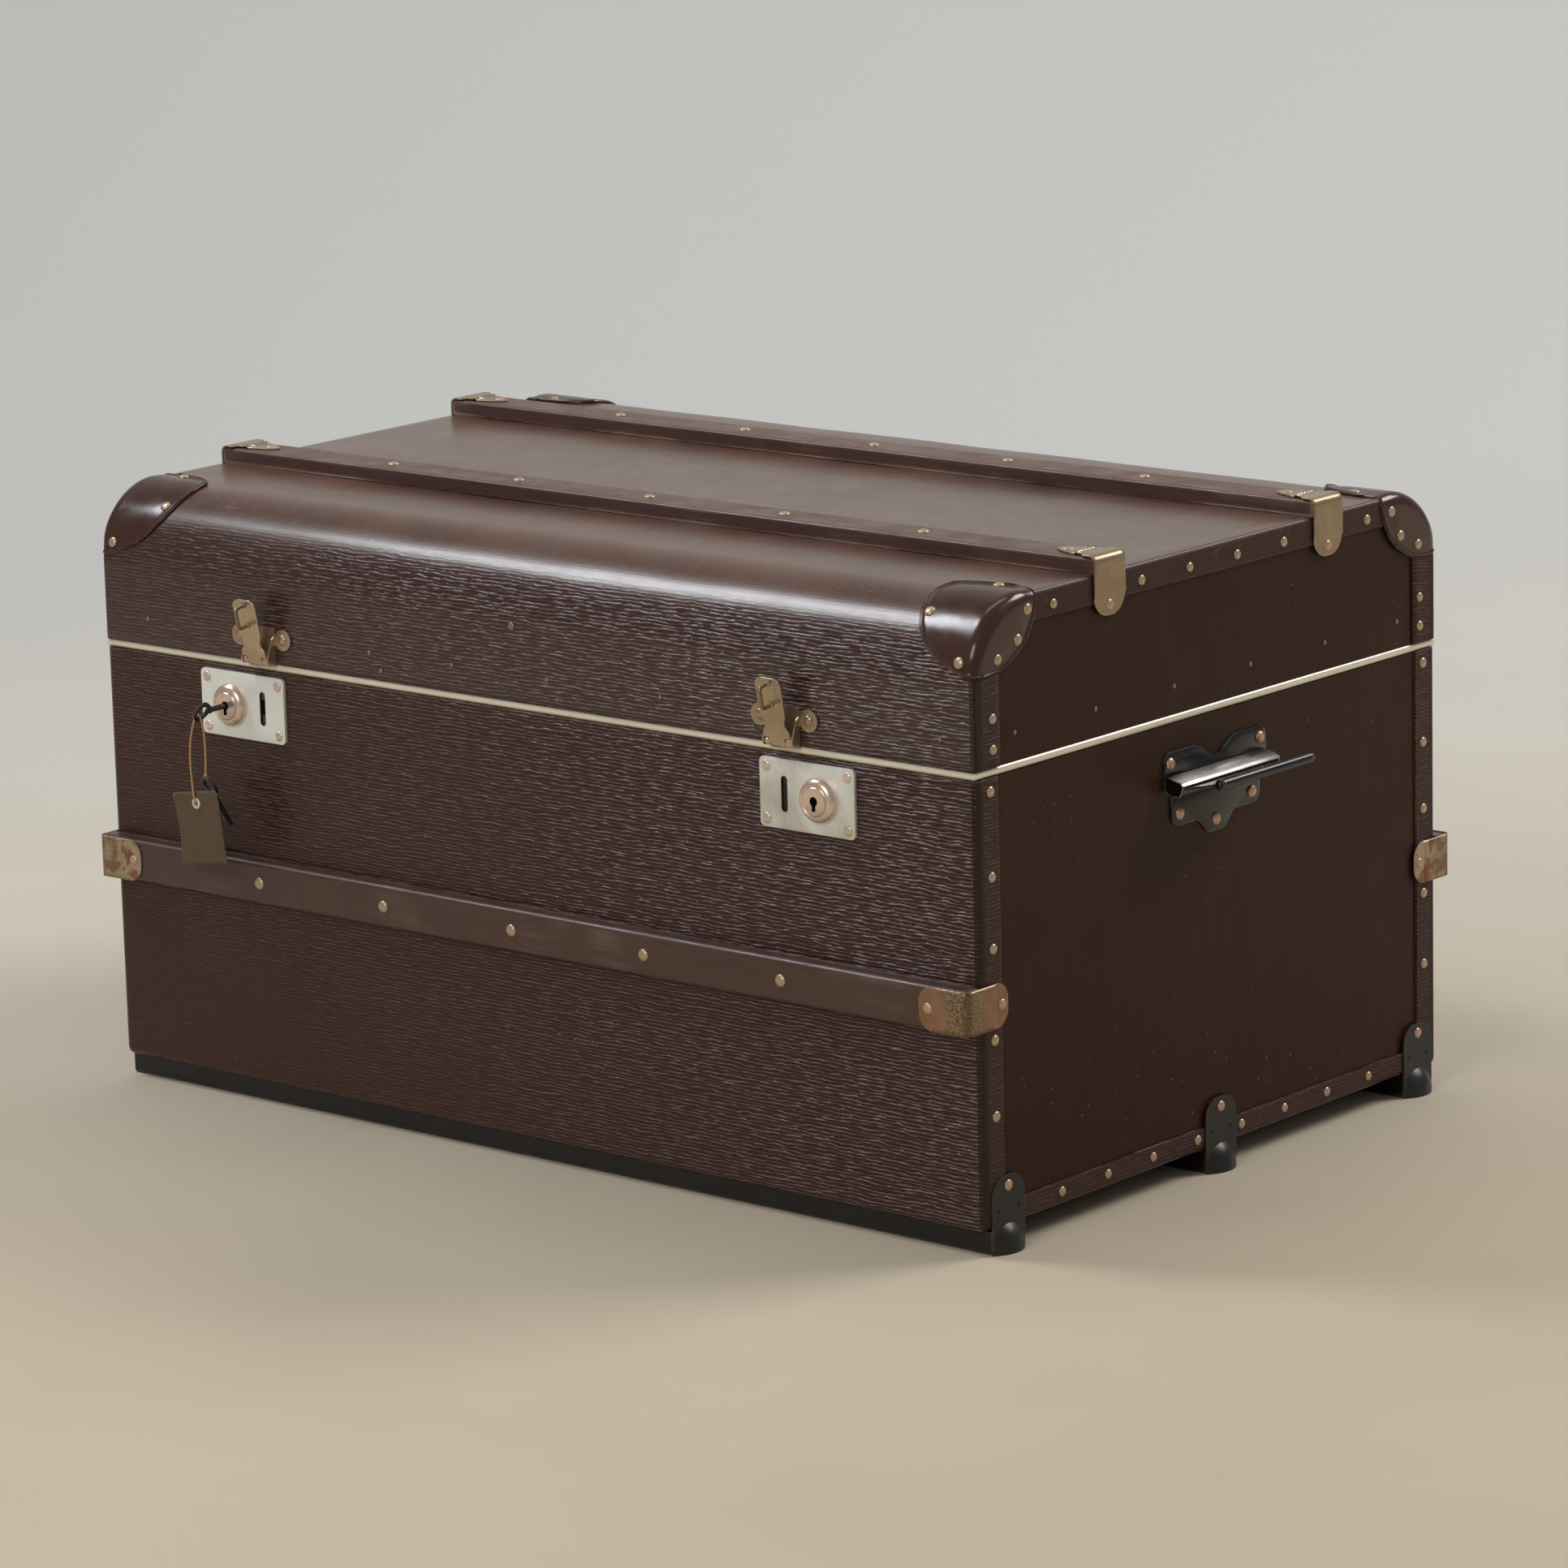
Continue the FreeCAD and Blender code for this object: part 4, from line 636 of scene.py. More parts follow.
def rounded(corners, steps=6):
    """Corners (u, v, radius) as a list of points, each corner rounded by its radius."""
    points = []
    count = len(corners)
    for i, (u, v, radius) in enumerate(corners):
        if radius <= 0:
            points.append((u, v))
            continue
        here = Vector((u, v))
        back = Vector(corners[i - 1][:2]) - here
        ahead = Vector(corners[(i + 1) % count][:2]) - here
        half = back.angle(ahead) / 2
        reach = min(radius / math.tan(half), back.length * 0.49, ahead.length * 0.49)
        radius = reach * math.tan(half)
        back.normalize()
        ahead.normalize()
        centre = here + (back + ahead).normalized() * (radius / math.sin(half))
        first, last = here + back * reach - centre, here + ahead * reach - centre
        turn = first.angle(last)
        for k in range(steps + 1):
            share = k / steps
            spot = first * math.sin((1 - share) * turn) + last * math.sin(share * turn)
            points.append(tuple(centre + spot / math.sin(turn)))
    return points


def rounded_box(u, v, half_u, half_v, radius):
    signs = ((-1, -1), (1, -1), (1, 1), (-1, 1))
    return rounded([(u + half_u * a, v + half_v * b, radius) for a, b in signs])


def mirrored(half, across_v=False):
    """Half an outline's corners and their mirror images; a corner on the fold stays single."""
    if across_v:
        return half + [(u, -v, radius) for u, v, radius in reversed(half) if v]
    return half + [(-u, v, radius) for u, v, radius in reversed(half) if u]


def along_table(table, at):
    """The second value of a table of pairs, read at a first value between them."""
    for (start, low), (stop, high) in zip(table, table[1:]):
        if at <= stop:
            return low + (high - low) * max(0.0, at - start) / (stop - start)
    return table[-1][1]


def pattern(loops, step_u=0.0, step_v=0.0):
    """A flat sheet in u and v inside the first loop and outside the others, cut into strips."""
    sheet = bmesh.new()
    for loop in loops:
        verts = [sheet.verts.new((u, v, 0)) for u, v in loop]
        for i in range(len(verts)):
            sheet.edges.new((verts[i - 1], verts[i]))
    bmesh.ops.triangle_fill(sheet, use_beauty=True, use_dissolve=False, edges=sheet.edges[:])
    for axis, step in ((0, step_u), (1, step_v)):
        if not step:
            continue
        reach = [point[axis] for point in loops[0]]
        low, high = min(reach), max(reach)
        count = int((high - low) / step)
        normal = Vector((1 - axis, axis, 0))
        for k in range(1, count + 1):
            bmesh.ops.bisect_plane(
                sheet, geom=sheet.verts[:] + sheet.edges[:] + sheet.faces[:], dist=1e-5,
                plane_co=normal * (low + (high - low) * k / (count + 1)), plane_no=normal)
    return sheet


def shaped(sheet, place):
    """Move every point (u, v) of a flat sheet to place(u, v)."""
    for vert in sheet.verts:
        vert.co = place(vert.co.x, vert.co.y)
    return sheet


def listed(shape):
    """A bmesh as lists of verts and faces; the bmesh is freed."""
    shape.verts.index_update()
    lists = [vert.co[:] for vert in shape.verts], [[v.index for v in f.verts] for f in shape.faces]
    shape.free()
    return lists


def unlisted(verts, faces):
    """Lists of verts and faces as a bmesh."""
    shape = bmesh.new()
    made = [shape.verts.new(vert) for vert in verts]
    for face in faces:
        shape.faces.new([made[i] for i in face])
    return shape


def merged(shapes):
    """Several (verts, faces) lists as one."""
    verts, faces = [], []
    for some_verts, some_faces in shapes:
        start = len(verts)
        verts += some_verts
        faces += [[start + i for i in face] for face in some_faces]
    return verts, faces


def grid_faces(rows, columns):
    return [[i * columns + j, i * columns + j + 1, (i + 1) * columns + j + 1, (i + 1) * columns + j]
            for i in range(rows - 1) for j in range(columns - 1)]


def ring_faces(rings, sides, closed=False):
    """Faces from each ring of points to the next and, if closed, from the last to the first."""
    faces = []
    for r in range(rings if closed else rings - 1):
        low, high = r * sides, (r + 1) % rings * sides
        for k in range(sides):
            after = (k + 1) % sides
            faces.append([low + k, low + after, high + after, high + k])
    return faces


def ring(centre, side, other, radius, sides):
    """Points of a circle that is spanned by two directions."""
    return [centre + (side * u + other * v) for u, v in circle(0, 0, radius, sides)]


def tube(points, radius, sides):
    """A closed round bar through the points."""
    points = [Vector(p) for p in points]
    verts = []
    side = None
    for i, here in enumerate(points):
        ahead = points[min(i + 1, len(points) - 1)] - points[max(i - 1, 0)]
        ahead.normalize()
        if side is None:
            side = ahead.orthogonal()
        side = (side - ahead * side.dot(ahead)).normalized()
        verts += ring(here, side, ahead.cross(side), radius, sides)
    last = (len(points) - 1) * sides
    ends = [list(range(sides)), list(range(last, last + sides))]
    return verts, ring_faces(len(points), sides) + ends


def turned_shape(profile, centre, axis, sides):
    """A closed shape turned round an axis, from (radius, height) pairs that end at radius 0."""
    axis = Vector(axis).normalized()
    side = axis.orthogonal().normalized()
    centre = Vector(centre)
    verts = []
    for radius, height in profile[1:-1]:
        verts += ring(centre + axis * height, side, axis.cross(side), radius, sides)
    faces = ring_faces(len(profile) - 2, sides)
    first, last = len(verts), len(verts) + 1
    verts += [centre + axis * profile[0][1], centre + axis * profile[-1][1]]
    top = first - sides
    for k in range(sides):
        after = (k + 1) % sides
        faces += [[first, after, k], [last, top + k, top + after]]
    return verts, faces


def wall(loop, near, far):
    """The band between two copies of a loop (x, z) that stand at two depths."""
    return [(x, y, z) for y in (near, far) for x, z in loop], ring_faces(2, len(loop))


def face_away(shape):
    """Turn every face of an open outer skin away from the middle of the trunk."""
    middle = Vector((0, 0, 0.4))
    shape.normal_update()
    for face in shape.faces:
        if face.normal.dot(face.calc_center_median() - middle) < 0:
            face.normal_flip()


def linked(name, data):
    """A new object of the scene."""
    made = bpy.data.objects.new(name, data)
    bpy.context.scene.collection.objects.link(made)
    return made


def object_from(name, shape, finish_name, body, smooth_angle=40.0, thickness=0.0, bevel=0.0,
                facing="away"):
    """Store a shape in millimetres as a finished piece that rides on a body.

    Its faces are turned "away" from the trunk, to the outside of a "closed" shape, or "kept".
    """
    if not isinstance(shape, bmesh.types.BMesh):
        shape = unlisted(*shape)
    bmesh.ops.scale(shape, vec=(MM, MM, MM), verts=shape.verts[:])
    if facing == "closed":
        bmesh.ops.recalc_face_normals(shape, faces=shape.faces[:])
    elif facing == "away":
        face_away(shape)
    mesh = bpy.data.meshes.new(name)
    shape.to_mesh(mesh)
    shape.free()
    mesh.materials.append(material(finish_name))
    mesh.polygons.foreach_set("use_smooth", [True] * len(mesh.polygons))
    mesh.set_sharp_from_angle(angle=math.radians(smooth_angle))
    piece = linked(name, mesh)
    if thickness:
        solid = piece.modifiers.new("Sheet", "SOLIDIFY")
        solid.thickness = thickness * MM
        solid.offset = -1.0
    if bevel:
        edge = piece.modifiers.new("Soft edges", "BEVEL")
        edge.width = bevel * MM
        edge.segments = 2
        edge.limit_method = "ANGLE"
        edge.angle_limit = math.radians(35)
    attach(piece, body)
    return piece


# The lid's fibre


SIDE_FLANGE, TOP_FLANGE, FLANGE_ROUND = 31.0, 22.5, 34.0
FLANGE_STEPS = (1.0, 0.97, 0.72, 0.45, 0.2)  # shares of the flange's width, its edge first
FLANGE_EDGE_TUCK = 1.2  # the flange's very edge lies this much deeper
FOLD_LENGTH, FLANGE_LENGTH = 6.3, 25.0  # how long both are on the UV map
SKIN_SINK = 0.45  # mean depth of the shallow dents


def lid_section():
    """Stations round the lid from its front foot over the top to its rear foot.

    Each holds its y and z, its outward direction, and y and z of the flange's inner edge.
    """
    half, top, foot, bend = map(millimetres, ("half_depth", "lid_top", "lid_foot", "lid_round"))
    edge_y, edge_top = -half + SIDE_FLANGE, top - TOP_FLANGE
    shrink = (edge_top - FLANGE_ROUND - foot) / (top - bend - foot)
    front = []
    for k in range(10):
        up = (top - bend - foot) * k / 10
        front.append((-half, foot + up, -1.0, 0.0, edge_y, foot + up * shrink))
    for ny, nz in arc(0, 0, 1, 180, 90, 24):
        front.append((-half + bend + bend * ny, top - bend + bend * nz, ny, nz,
                      edge_y + FLANGE_ROUND + FLANGE_ROUND * ny,
                      edge_top - FLANGE_ROUND + FLANGE_ROUND * nz))
    for k in range(1, 16):
        left = 1 - k / 16
        front.append(((-half + bend) * left, top, 0.0, 1.0,
                      (edge_y + FLANGE_ROUND) * left, edge_top))
    rear = [(-y, z, -ny, nz, -wy, wz) for y, z, ny, nz, wy, wz in reversed(front)]
    return front + [(0.0, top, 0.0, 1.0, 0.0, edge_top)] + rear


def lid_rows(end, fold):
    """Rows along the lid as (x, share of the flange, inset in the fold); one of the two is None."""
    rows = [(end, share, None) for share in FLANGE_STEPS]
    rows += [(end - fold + u, None, fold - v) for u, v in arc(0, 0, fold, 0, 90, 6)]
    rows += [((end - fold) * (1 - k / 40), None, 0.0) for k in range(1, 40)]
    return rows + [(0.0, None, 0.0)] + [(-x, share, inset) for x, share, inset in reversed(rows)]


def skin_dent(x, y, z, room):
    """How far the old sheet has sunk at a place; room is the distance to the folded rim."""
    wave = noise.noise(Vector((x * 0.011, y * 0.013, z * 0.018)))
    return SKIN_SINK * (1 + wave) * min(1.0, room / 30)


def build_lid_skin():
    """One folded sheet: long skin, rounded end rims and the flanges riveted to the end boards."""
    end, fold = millimetres("half_length"), millimetres("fold")
    section, rows = lid_section(), lid_rows(end, fold)
    verts = []
    for x, share, inset in rows:
        for y, z, ny, nz, wy, wz in section:
            if share is None:
                if inset == 0.0:
                    down = skin_dent(x, y, z, end - fold - abs(x))
                else:
                    down = inset
                verts.append((x, y - ny * down, z - nz * down))
            else:
                start_y, start_z = y - ny * fold, z - nz * fold
                under = FLANGE_EDGE_TUCK if share == 1.0 else 0.0
                verts.append((math.copysign(end - under, x), start_y + (wy - start_y) * share,
                              start_z + (wz - start_z) * share))
    shape = (verts, grid_faces(len(rows), len(section)))
    skin = object_from("lid_skin", shape, "fibre_lid", "lid", 60.0,
                       thickness=millimetres("fibre_sheet"))
    chart_lid_skin(skin, rows, section)
    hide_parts("lid_wrap")


def chart_lid_skin(skin, rows, section):
    """The UV map that the ribs follow: u along the lid and v round it, in metres."""
    chart = skin.data.uv_layers.new(name="UVMap")
    lengths = [0.0]
    for a, b in zip(section, section[1:]):
        lengths.append(lengths[-1] + math.hypot(b[0] - a[0], b[1] - a[1]) * MM)
    for loop in skin.data.loops:
        row, column = divmod(loop.vertex_index, len(section))
        x, share, inset = rows[row]
        over = inset if share is None else FOLD_LENGTH + FLANGE_LENGTH * share
        chart.data[loop.index].uv = ((x + math.copysign(over, x)) * MM, lengths[column])


# Moulded corner caps


CAP_LEAF = [(4.5, 6.0), (6.4, 12.0), (10.3, 23.7), (14.8, 37.6), (23.0, 48.7), (36.0, 58.4),
            (47.5, 63.6), (59.7, 66.1), (71.4, 66.9), (83.5, 64.4), (88.5, 59.0), (92.0, 48.0),
            (94.4, 33.0), (95.6, 16.0), (96.6, 6.0)]
CAP_END = [(-293.0, 435.2), (-281.0, 435.4), (-263.0, 437.0), (-251.9, 441.4), (-239.0, 448.4),
           (-229.6, 457.1), (-221.5, 470.6), (-218.5, 482.7), (-217.2, 490.0)]
CAP_START, CAP_OVER_TOP = 6.4, 15.6  # past the roundover's foot, and past its end on the top
CAP_ROWS, CAP_MIDDLE = 96, 34
CAP_RIM = (0.0, 0.25, 0.8, 1.4, 2.0, 2.7, 3.4, 4.4)  # the fine steps in from the cap's edge
CAP_THICKNESS = 1.2


def cap_reaches(s, bend, half, top):
    """How far the cap reaches along the lid and down its end, s millimetres from the arc's foot."""
    arc_length = bend * math.pi / 2
    past = max(0.0, s - arc_length)
    angle = min(s / bend, math.pi / 2)
    chord = (bend * (1 - math.cos(angle) + math.sin(angle)) + past) / math.sqrt(2)
    centre = Vector((-half + bend + past, top - bend))
    ray = Vector((-math.cos(angle), math.sin(angle)))
    inner = 0.0
    for p, q in zip(CAP_END, CAP_END[1:]):
        start, edge = Vector(p) - centre, Vector(q) - Vector(p)
        cross = ray.x * edge.y - ray.y * edge.x
        if abs(cross) < 1e-9:
            continue
        along = (start.x * edge.y - start.y * edge.x) / cross
        share = (start.x * ray.y - start.y * ray.x) / cross
        if -1e-6 <= share <= 1 + 1e-6:
            inner = max(inner, along)
    return along_table(CAP_LEAF, chord), max(1.0, bend - inner)


def cap_lift(gap):
    """How far the cap stands off the lid, at a distance from its edge."""
    rise, flat = millimetres("cap_rise"), millimetres("cap_sheet")
    return along_table([(0.0, 0.05), (0.35, flat * 0.9), (1.3, rise * 0.9), (1.9, rise),
                        (2.6, rise * 0.9), (3.4, flat * 0.93), (5.0, flat), (9.0, flat + 0.3),
                        (15.0, flat + 0.8), (24.0, flat + 1.1)], gap)


def edge_distance(place, edge):
    """Distance from a place to the nearest run of a closed line."""
    best = math.inf
    for i, b in enumerate(edge):
        a = edge[i - 1]
        run = b - a
        share = max(0.0, min(1.0, (place - a).dot(run) / max(run.length_squared, 1e-9)))
        best = min(best, (place - a - run * share).length)
    return best


def cap_outline(bend, half, top, fold):
    """Where the cap begins and ends along t, the way from the lid's top round onto its end."""
    arc_length, wrap = bend * math.pi / 2, fold * math.pi / 2
    rows = [CAP_START + (arc_length + CAP_OVER_TOP - CAP_START) * k / CAP_ROWS
            for k in range(CAP_ROWS + 1)]
    spans = []
    for s in rows:
        leaf, depth = cap_reaches(s, bend, half, top)
        spans.append((fold - leaf, wrap + depth - fold))
    smooth = []
    for i in range(len(spans)):
        near = [spans[min(max(i + d, 0), CAP_ROWS)] for d in (-2, -1, 0, 1, 2)]
        smooth.append(tuple(sum(ends) / len(near) for ends in zip(*near)))
    return rows, smooth


def cap_shape():
    """The front right cap as one moulded sheet with a raised line just inside its edge."""
    end, half, top, bend, fold = map(
        millimetres, ("half_length", "half_depth", "lid_top", "lid_round", "fold"))
    arc_length, wrap = bend * math.pi / 2, fold * math.pi / 2
    rows, spans = cap_outline(bend, half, top, fold)
    edge = [Vector((s, low)) for s, (low, high) in zip(rows, spans)]
    edge += [Vector((s, high)) for s, (low, high) in reversed(list(zip(rows, spans)))]
    rim = CAP_RIM[-1]
    verts = []
    for s, (low, high) in zip(rows, spans):
        room = min(1.0, (high - low) / 9.5)
        middle = high - low - 2 * rim * room
        across = [low + step * room for step in CAP_RIM]
        across += [low + rim * room + middle * k / CAP_MIDDLE for k in range(1, CAP_MIDDLE)]
        across += [high - step * room for step in reversed(CAP_RIM)]
        angle, past = min(s / bend, math.pi / 2), max(0.0, s - arc_length)
        ny, nz = -math.cos(angle), math.sin(angle)
        base_y, base_z = -half + bend + bend * ny + past, top - bend + bend * nz
        for t in across:
            up = cap_lift(edge_distance(Vector((s, t)), edge))
            # The cap's own fold is rounder than the lid's where the cap stands off it.
            radius = min(8.5, fold + 3.0 * up)
            reach = radius - up - fold
            if t <= -reach:
                x, inset = end - fold + t, -up
            elif t <= wrap + reach:
                turn = (t + reach) / (wrap + 2 * reach) * math.pi / 2
                x = end - radius + up + radius * math.sin(turn)
                inset = radius - up - radius * math.cos(turn)
            else:
                x, inset = end + up, fold + t - wrap
            verts.append((x, base_y - ny * inset, base_z - nz * inset))
    return verts, grid_faces(len(rows), 2 * len(CAP_RIM) + CAP_MIDDLE - 1)


def build_caps():
    verts, faces = cap_shape()
    for node, sign_y in (("lid_caps_front", 1), ("lid_caps_rear", -1)):
        parts = [([(x * sign_x, y * sign_y, z) for x, y, z in verts], faces)
                 for sign_x in (1, -1)]
        piece = object_from(node + "_moulded", merged(parts), "corner_cap", "lid", 50.0,
                            thickness=CAP_THICKNESS)
        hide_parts(node)


# Bent clips


CLIP_BEND, CLIP_THICKNESS = 3.5, 1.2
CLIP_STRIP = 1.1  # the width of the strips that the bend is cut into
SLAT_CLIP = [(-46.0, 0.0, 1.0), (-45.0, 2.2, 2.0), (-37.0, 8.2, 8.0), (-24.0, 12.4, 10.0),
             (-12.5, 12.5, 3.0), (-10.5, 18.5, 2.0), (43.5, 18.5, 16.5)]
RAIL_CLIP = [(-44.5, -17, 13), (-44.5, 17, 13), (45, 17, 13), (45, -17, 13)]


def bend_over(u, lift, corner):
    """Where a strip's point comes to lie; u is 0 at the bend, lift its height off the wood."""
    across, up = corner
    wrap = math.pi / 2 * CLIP_BEND
    if u <= -CLIP_BEND:
        return across + u, up + lift
    if u <= -CLIP_BEND + wrap:
        angle = (u + CLIP_BEND) / CLIP_BEND
        reach = CLIP_BEND + lift
        return (across - CLIP_BEND + reach * math.sin(angle),
                up - CLIP_BEND + reach * math.cos(angle))
    return across + lift, up - CLIP_BEND - (u + CLIP_BEND - wrap)


def clip_lift(u, low, high):
    """Thin on both tongues and raised between low and high, with short slopes."""
    thin, raised, slope = millimetres("clip_sheet"), 0.8, 1.6
    climb = min(1.0, max(0.0, (u - low) / slope)) * min(1.0, max(0.0, (high - u) / slope))
    return thin + raised * climb


def bent_clip(outline, strip, low, high, corner, place):
    """One clip, cut to its outline, bent over the corner and put in its place."""

    def folded(u, v):
        across, up = bend_over(u, clip_lift(u, low, high), corner)
        return place(across, v, up)

    return listed(shaped(pattern([outline], CLIP_STRIP, strip), folded))


def build_slat_clips():
    outline = rounded(mirrored(SLAT_CLIP, across_v=True), 10)
    parts = [bent_clip(outline, 3.0, -20.5, 29.5, (SHEET_END, SLAT_TOP),
                       lambda across, v, up: (across * side, v + row, up))
             for row in SLAT_ROWS for side in (1, -1)]
    piece = object_from("slat_clip_plates", merged(parts), "slat_plate", "lid", 45.0,
                        thickness=CLIP_THICKNESS)
    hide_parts("slat_clips")


def build_rail_clips():
    outline = rounded(RAIL_CLIP, 10)
    parts = [bent_clip(outline, 4.0, -31.0, 31.5, (SHEET_END, RAIL_FACE),
                       lambda across, v, up: (across * side, -up * front, v + RAIL_HEIGHT))
             for front in (1, -1) for side in (1, -1)]
    piece = object_from("rail_clip_plates", merged(parts), "rail_plate", "base", 45.0,
                        thickness=CLIP_THICKNESS)
    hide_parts("rail_clips")


# Hasps


HASP_LEAF = [(-6.9, -2.9, 1), (-6.9, 4.2, 1), (-12.5, 4.6, 1), (-12.5, 9.5, 3), (-9.4, 13, 3),
             (-9.4, 17, 3), (-11.6, 22, 4), (-12.5, 53, 7)]
HASP_TILT, HASP_BACK = 12.0, -2.65
RIM_SIDE, RIM_TOP, RIM_SLOPE, RIM_DEPTH, RIM_FROM = 8.6, 49.2, 1.8, 0.55, 20.0
KNUCKLES = ((-12.5, -7.3, 3.0), (-6.9, 6.9, 2.4), (7.3, 12.5, 3.0))  # start, end and radius
KNUCKLE_CHAMFER = 0.5
STAPLE_OUT, STAPLE_FOOT, STAPLE_HEAD, STAPLE_BEND = 12.5, 31.5, 48.5, 3.0
STAPLE_ROOT, STAPLE_WIRE = -1.6, 1.5
STAPLE_WASHER = [(0, 0), (2.6, 0), (2.4, 0.7), (1.4, 1.2), (0, 1.2)]


def build_hasp(side):
    """A hasp leaf with its barrel, sunk rim and the staple of round wire."""
    body = "hasp_" + side_name(side)
    tilt = Matrix.Rotation(math.radians(HASP_TILT), 3, "X")
    centre = Vector((HASP_X * side,) + HASP_PIVOT)

    def leaf_place(u, w):
        rim = max(abs(u) - RIM_SIDE, w - RIM_TOP, 0.0)
        sunk = RIM_DEPTH * min(1.0, rim / RIM_SLOPE) if w > RIM_FROM else 0.0
        return centre + tilt @ Vector((u, HASP_BACK - sunk, w))

    sheet = shaped(pattern([rounded(mirrored(HASP_LEAF))], 1.4, 2.0), leaf_place)
    leaf = object_from("hasp_leaf_" + side_name(side), sheet, "hasp_plate", body, thickness=1.5)
    barrel = []
    for start, stop, radius in KNUCKLES:
        inner = radius - KNUCKLE_CHAMFER
        profile = [(0, start), (inner, start), (radius, start + KNUCKLE_CHAMFER),
                   (radius, stop - KNUCKLE_CHAMFER), (inner, stop), (0, stop)]
        barrel.append(turned_shape(profile, centre, (1, 0, 0), 28))
    knuckles = object_from("hasp_knuckles_" + side_name(side), merged(barrel), "copper_plate",
                           body, facing="closed")
    bend_y = STAPLE_BEND - STAPLE_OUT
    line = [(STAPLE_ROOT, STAPLE_FOOT)]
    line += arc(bend_y, STAPLE_FOOT + STAPLE_BEND, STAPLE_BEND, -90, -180, 8)
    line += arc(bend_y, STAPLE_HEAD - STAPLE_BEND, STAPLE_BEND, 180, 90, 8)
    line += [(STAPLE_ROOT, STAPLE_HEAD)]
    staple = [tube([centre + tilt @ Vector((0, y, z)) for y, z in line], STAPLE_WIRE, 16)]
    for z in (STAPLE_FOOT, STAPLE_HEAD):
        staple.append(turned_shape(STAPLE_WASHER, centre + tilt @ Vector((0, -2.9, z)),
                                   tilt @ Vector((0, -1, 0)), 20))
    wire = object_from("hasp_staple_" + side_name(side), merged(staple), "wire_steel", body,
                       facing="closed")
    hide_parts(body)


# Lock plates and bosses


LOCK_FINISHES = ((-1, "clean_nickel"), (1, "brown_nickel"))
PLATE_THICKNESS = 2.9
LOCK_PLATE, LOCK_SLOT = (45.7, 26.7, 4.0), (3.1, 13.8, 3.0)  # half width, half height, radius
LOCK_BORE, SLOT_LINING = 10.0, 0.1
BOSS_RINGS = [(17.4, 0.0), (17.4, 1.4), (17.1, 3.0), (16.3, 4.6), (15.0, 6.0), (13.4, 6.9),
              (12.3, 7.1), (11.7, 6.8), (11.4, 6.3), (11.1, 6.5), (10.9, 7.3), (10.4, 7.8),
              (9.6, 7.9), (9.1, 7.7)]
BOSS_SIDES = 48
KEYHOLE_ROUND, KEYHOLE_HALF_SLOT, KEYHOLE_DROP = 3.7, 1.8, 7.6


def keyhole_outline(x, z):
    """The round and the slot of a keyhole as one closed line."""
    start = math.degrees(math.asin(KEYHOLE_HALF_SLOT / KEYHOLE_ROUND))
    points = arc(x, z, KEYHOLE_ROUND, start - 90, 270 - start, 20)
    return points + [(x - KEYHOLE_HALF_SLOT, z - KEYHOLE_DROP),
                     (x + KEYHOLE_HALF_SLOT, z - KEYHOLE_DROP)]


def build_locks():
    for side, finish_name in LOCK_FINISHES:
        where = side_name(side)
        border = rounded_box(PLATE_X * side, LOCK_HEIGHT, *LOCK_PLATE)
        slot = rounded_box(SLOT_X * side, LOCK_HEIGHT, *LOCK_SLOT)
        bore = circle(BOSS_X * side, LOCK_HEIGHT, LOCK_BORE)
        sheet = shaped(pattern([border, slot, bore]), lambda x, z: (x, PLATE_FACE, z))
        plate = object_from("lock_face_" + where, sheet, finish_name, "base", 35.0,
                            thickness=PLATE_THICKNESS, bevel=1.1)
        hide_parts("lock_plate_" + where)
        # The slot's sides are painted shade from just under the plate's face.
        mouth = rounded_box(SLOT_X * side, LOCK_HEIGHT, *(v - SLOT_LINING for v in LOCK_SLOT))
        hollow = wall(mouth, PLATE_FACE + 0.5, PLATE_FACE + PLATE_THICKNESS - SLOT_LINING)
        walls = object_from("slot_shade_" + where, hollow, "hollow_shade", "base", 30.0)


def build_bosses():
    """Pressed domes with a flat disc that carries the keyhole, and the keyholes' walls in painted
    shade.
    """
    disc_y = PLATE_FACE - BOSS_RINGS[-1][1]
    parts, walls = [], []
    for side in (-1, 1):
        x = BOSS_X * side
        verts = [(u, PLATE_FACE - height, w) for radius, height in BOSS_RINGS
                 for u, w in circle(x, LOCK_HEIGHT, radius, BOSS_SIDES)]
        parts.append((verts, ring_faces(len(BOSS_RINGS), BOSS_SIDES)))
        rim = circle(x, LOCK_HEIGHT, BOSS_RINGS[-1][0], BOSS_SIDES)
        hole = keyhole_outline(x, LOCK_HEIGHT)
        parts.append(listed(shaped(pattern([rim, hole]), lambda u, w: (u, disc_y, w))))
        walls.append(wall(hole, disc_y + 0.05, PLATE_FACE + 1.5))
    domes = unlisted(*merged(parts))
    bmesh.ops.remove_doubles(domes, verts=domes.verts[:], dist=0.001)
    bmesh.ops.recalc_face_normals(domes, faces=domes.faces[:])
    foremost = min(domes.faces, key=lambda face: face.calc_center_median().y)
    if foremost.normal.y > 0:
        bmesh.ops.reverse_faces(domes, faces=domes.faces[:])
    piece = object_from("lock_domes", domes, "boss_plate", "base", 30.0, facing="kept")
    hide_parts("lock_bosses")
    # The keyholes' walls are painted shade.
    holes = object_from("keyhole_shade", merged(walls), "hollow_shade", "base", 30.0)


# End handles


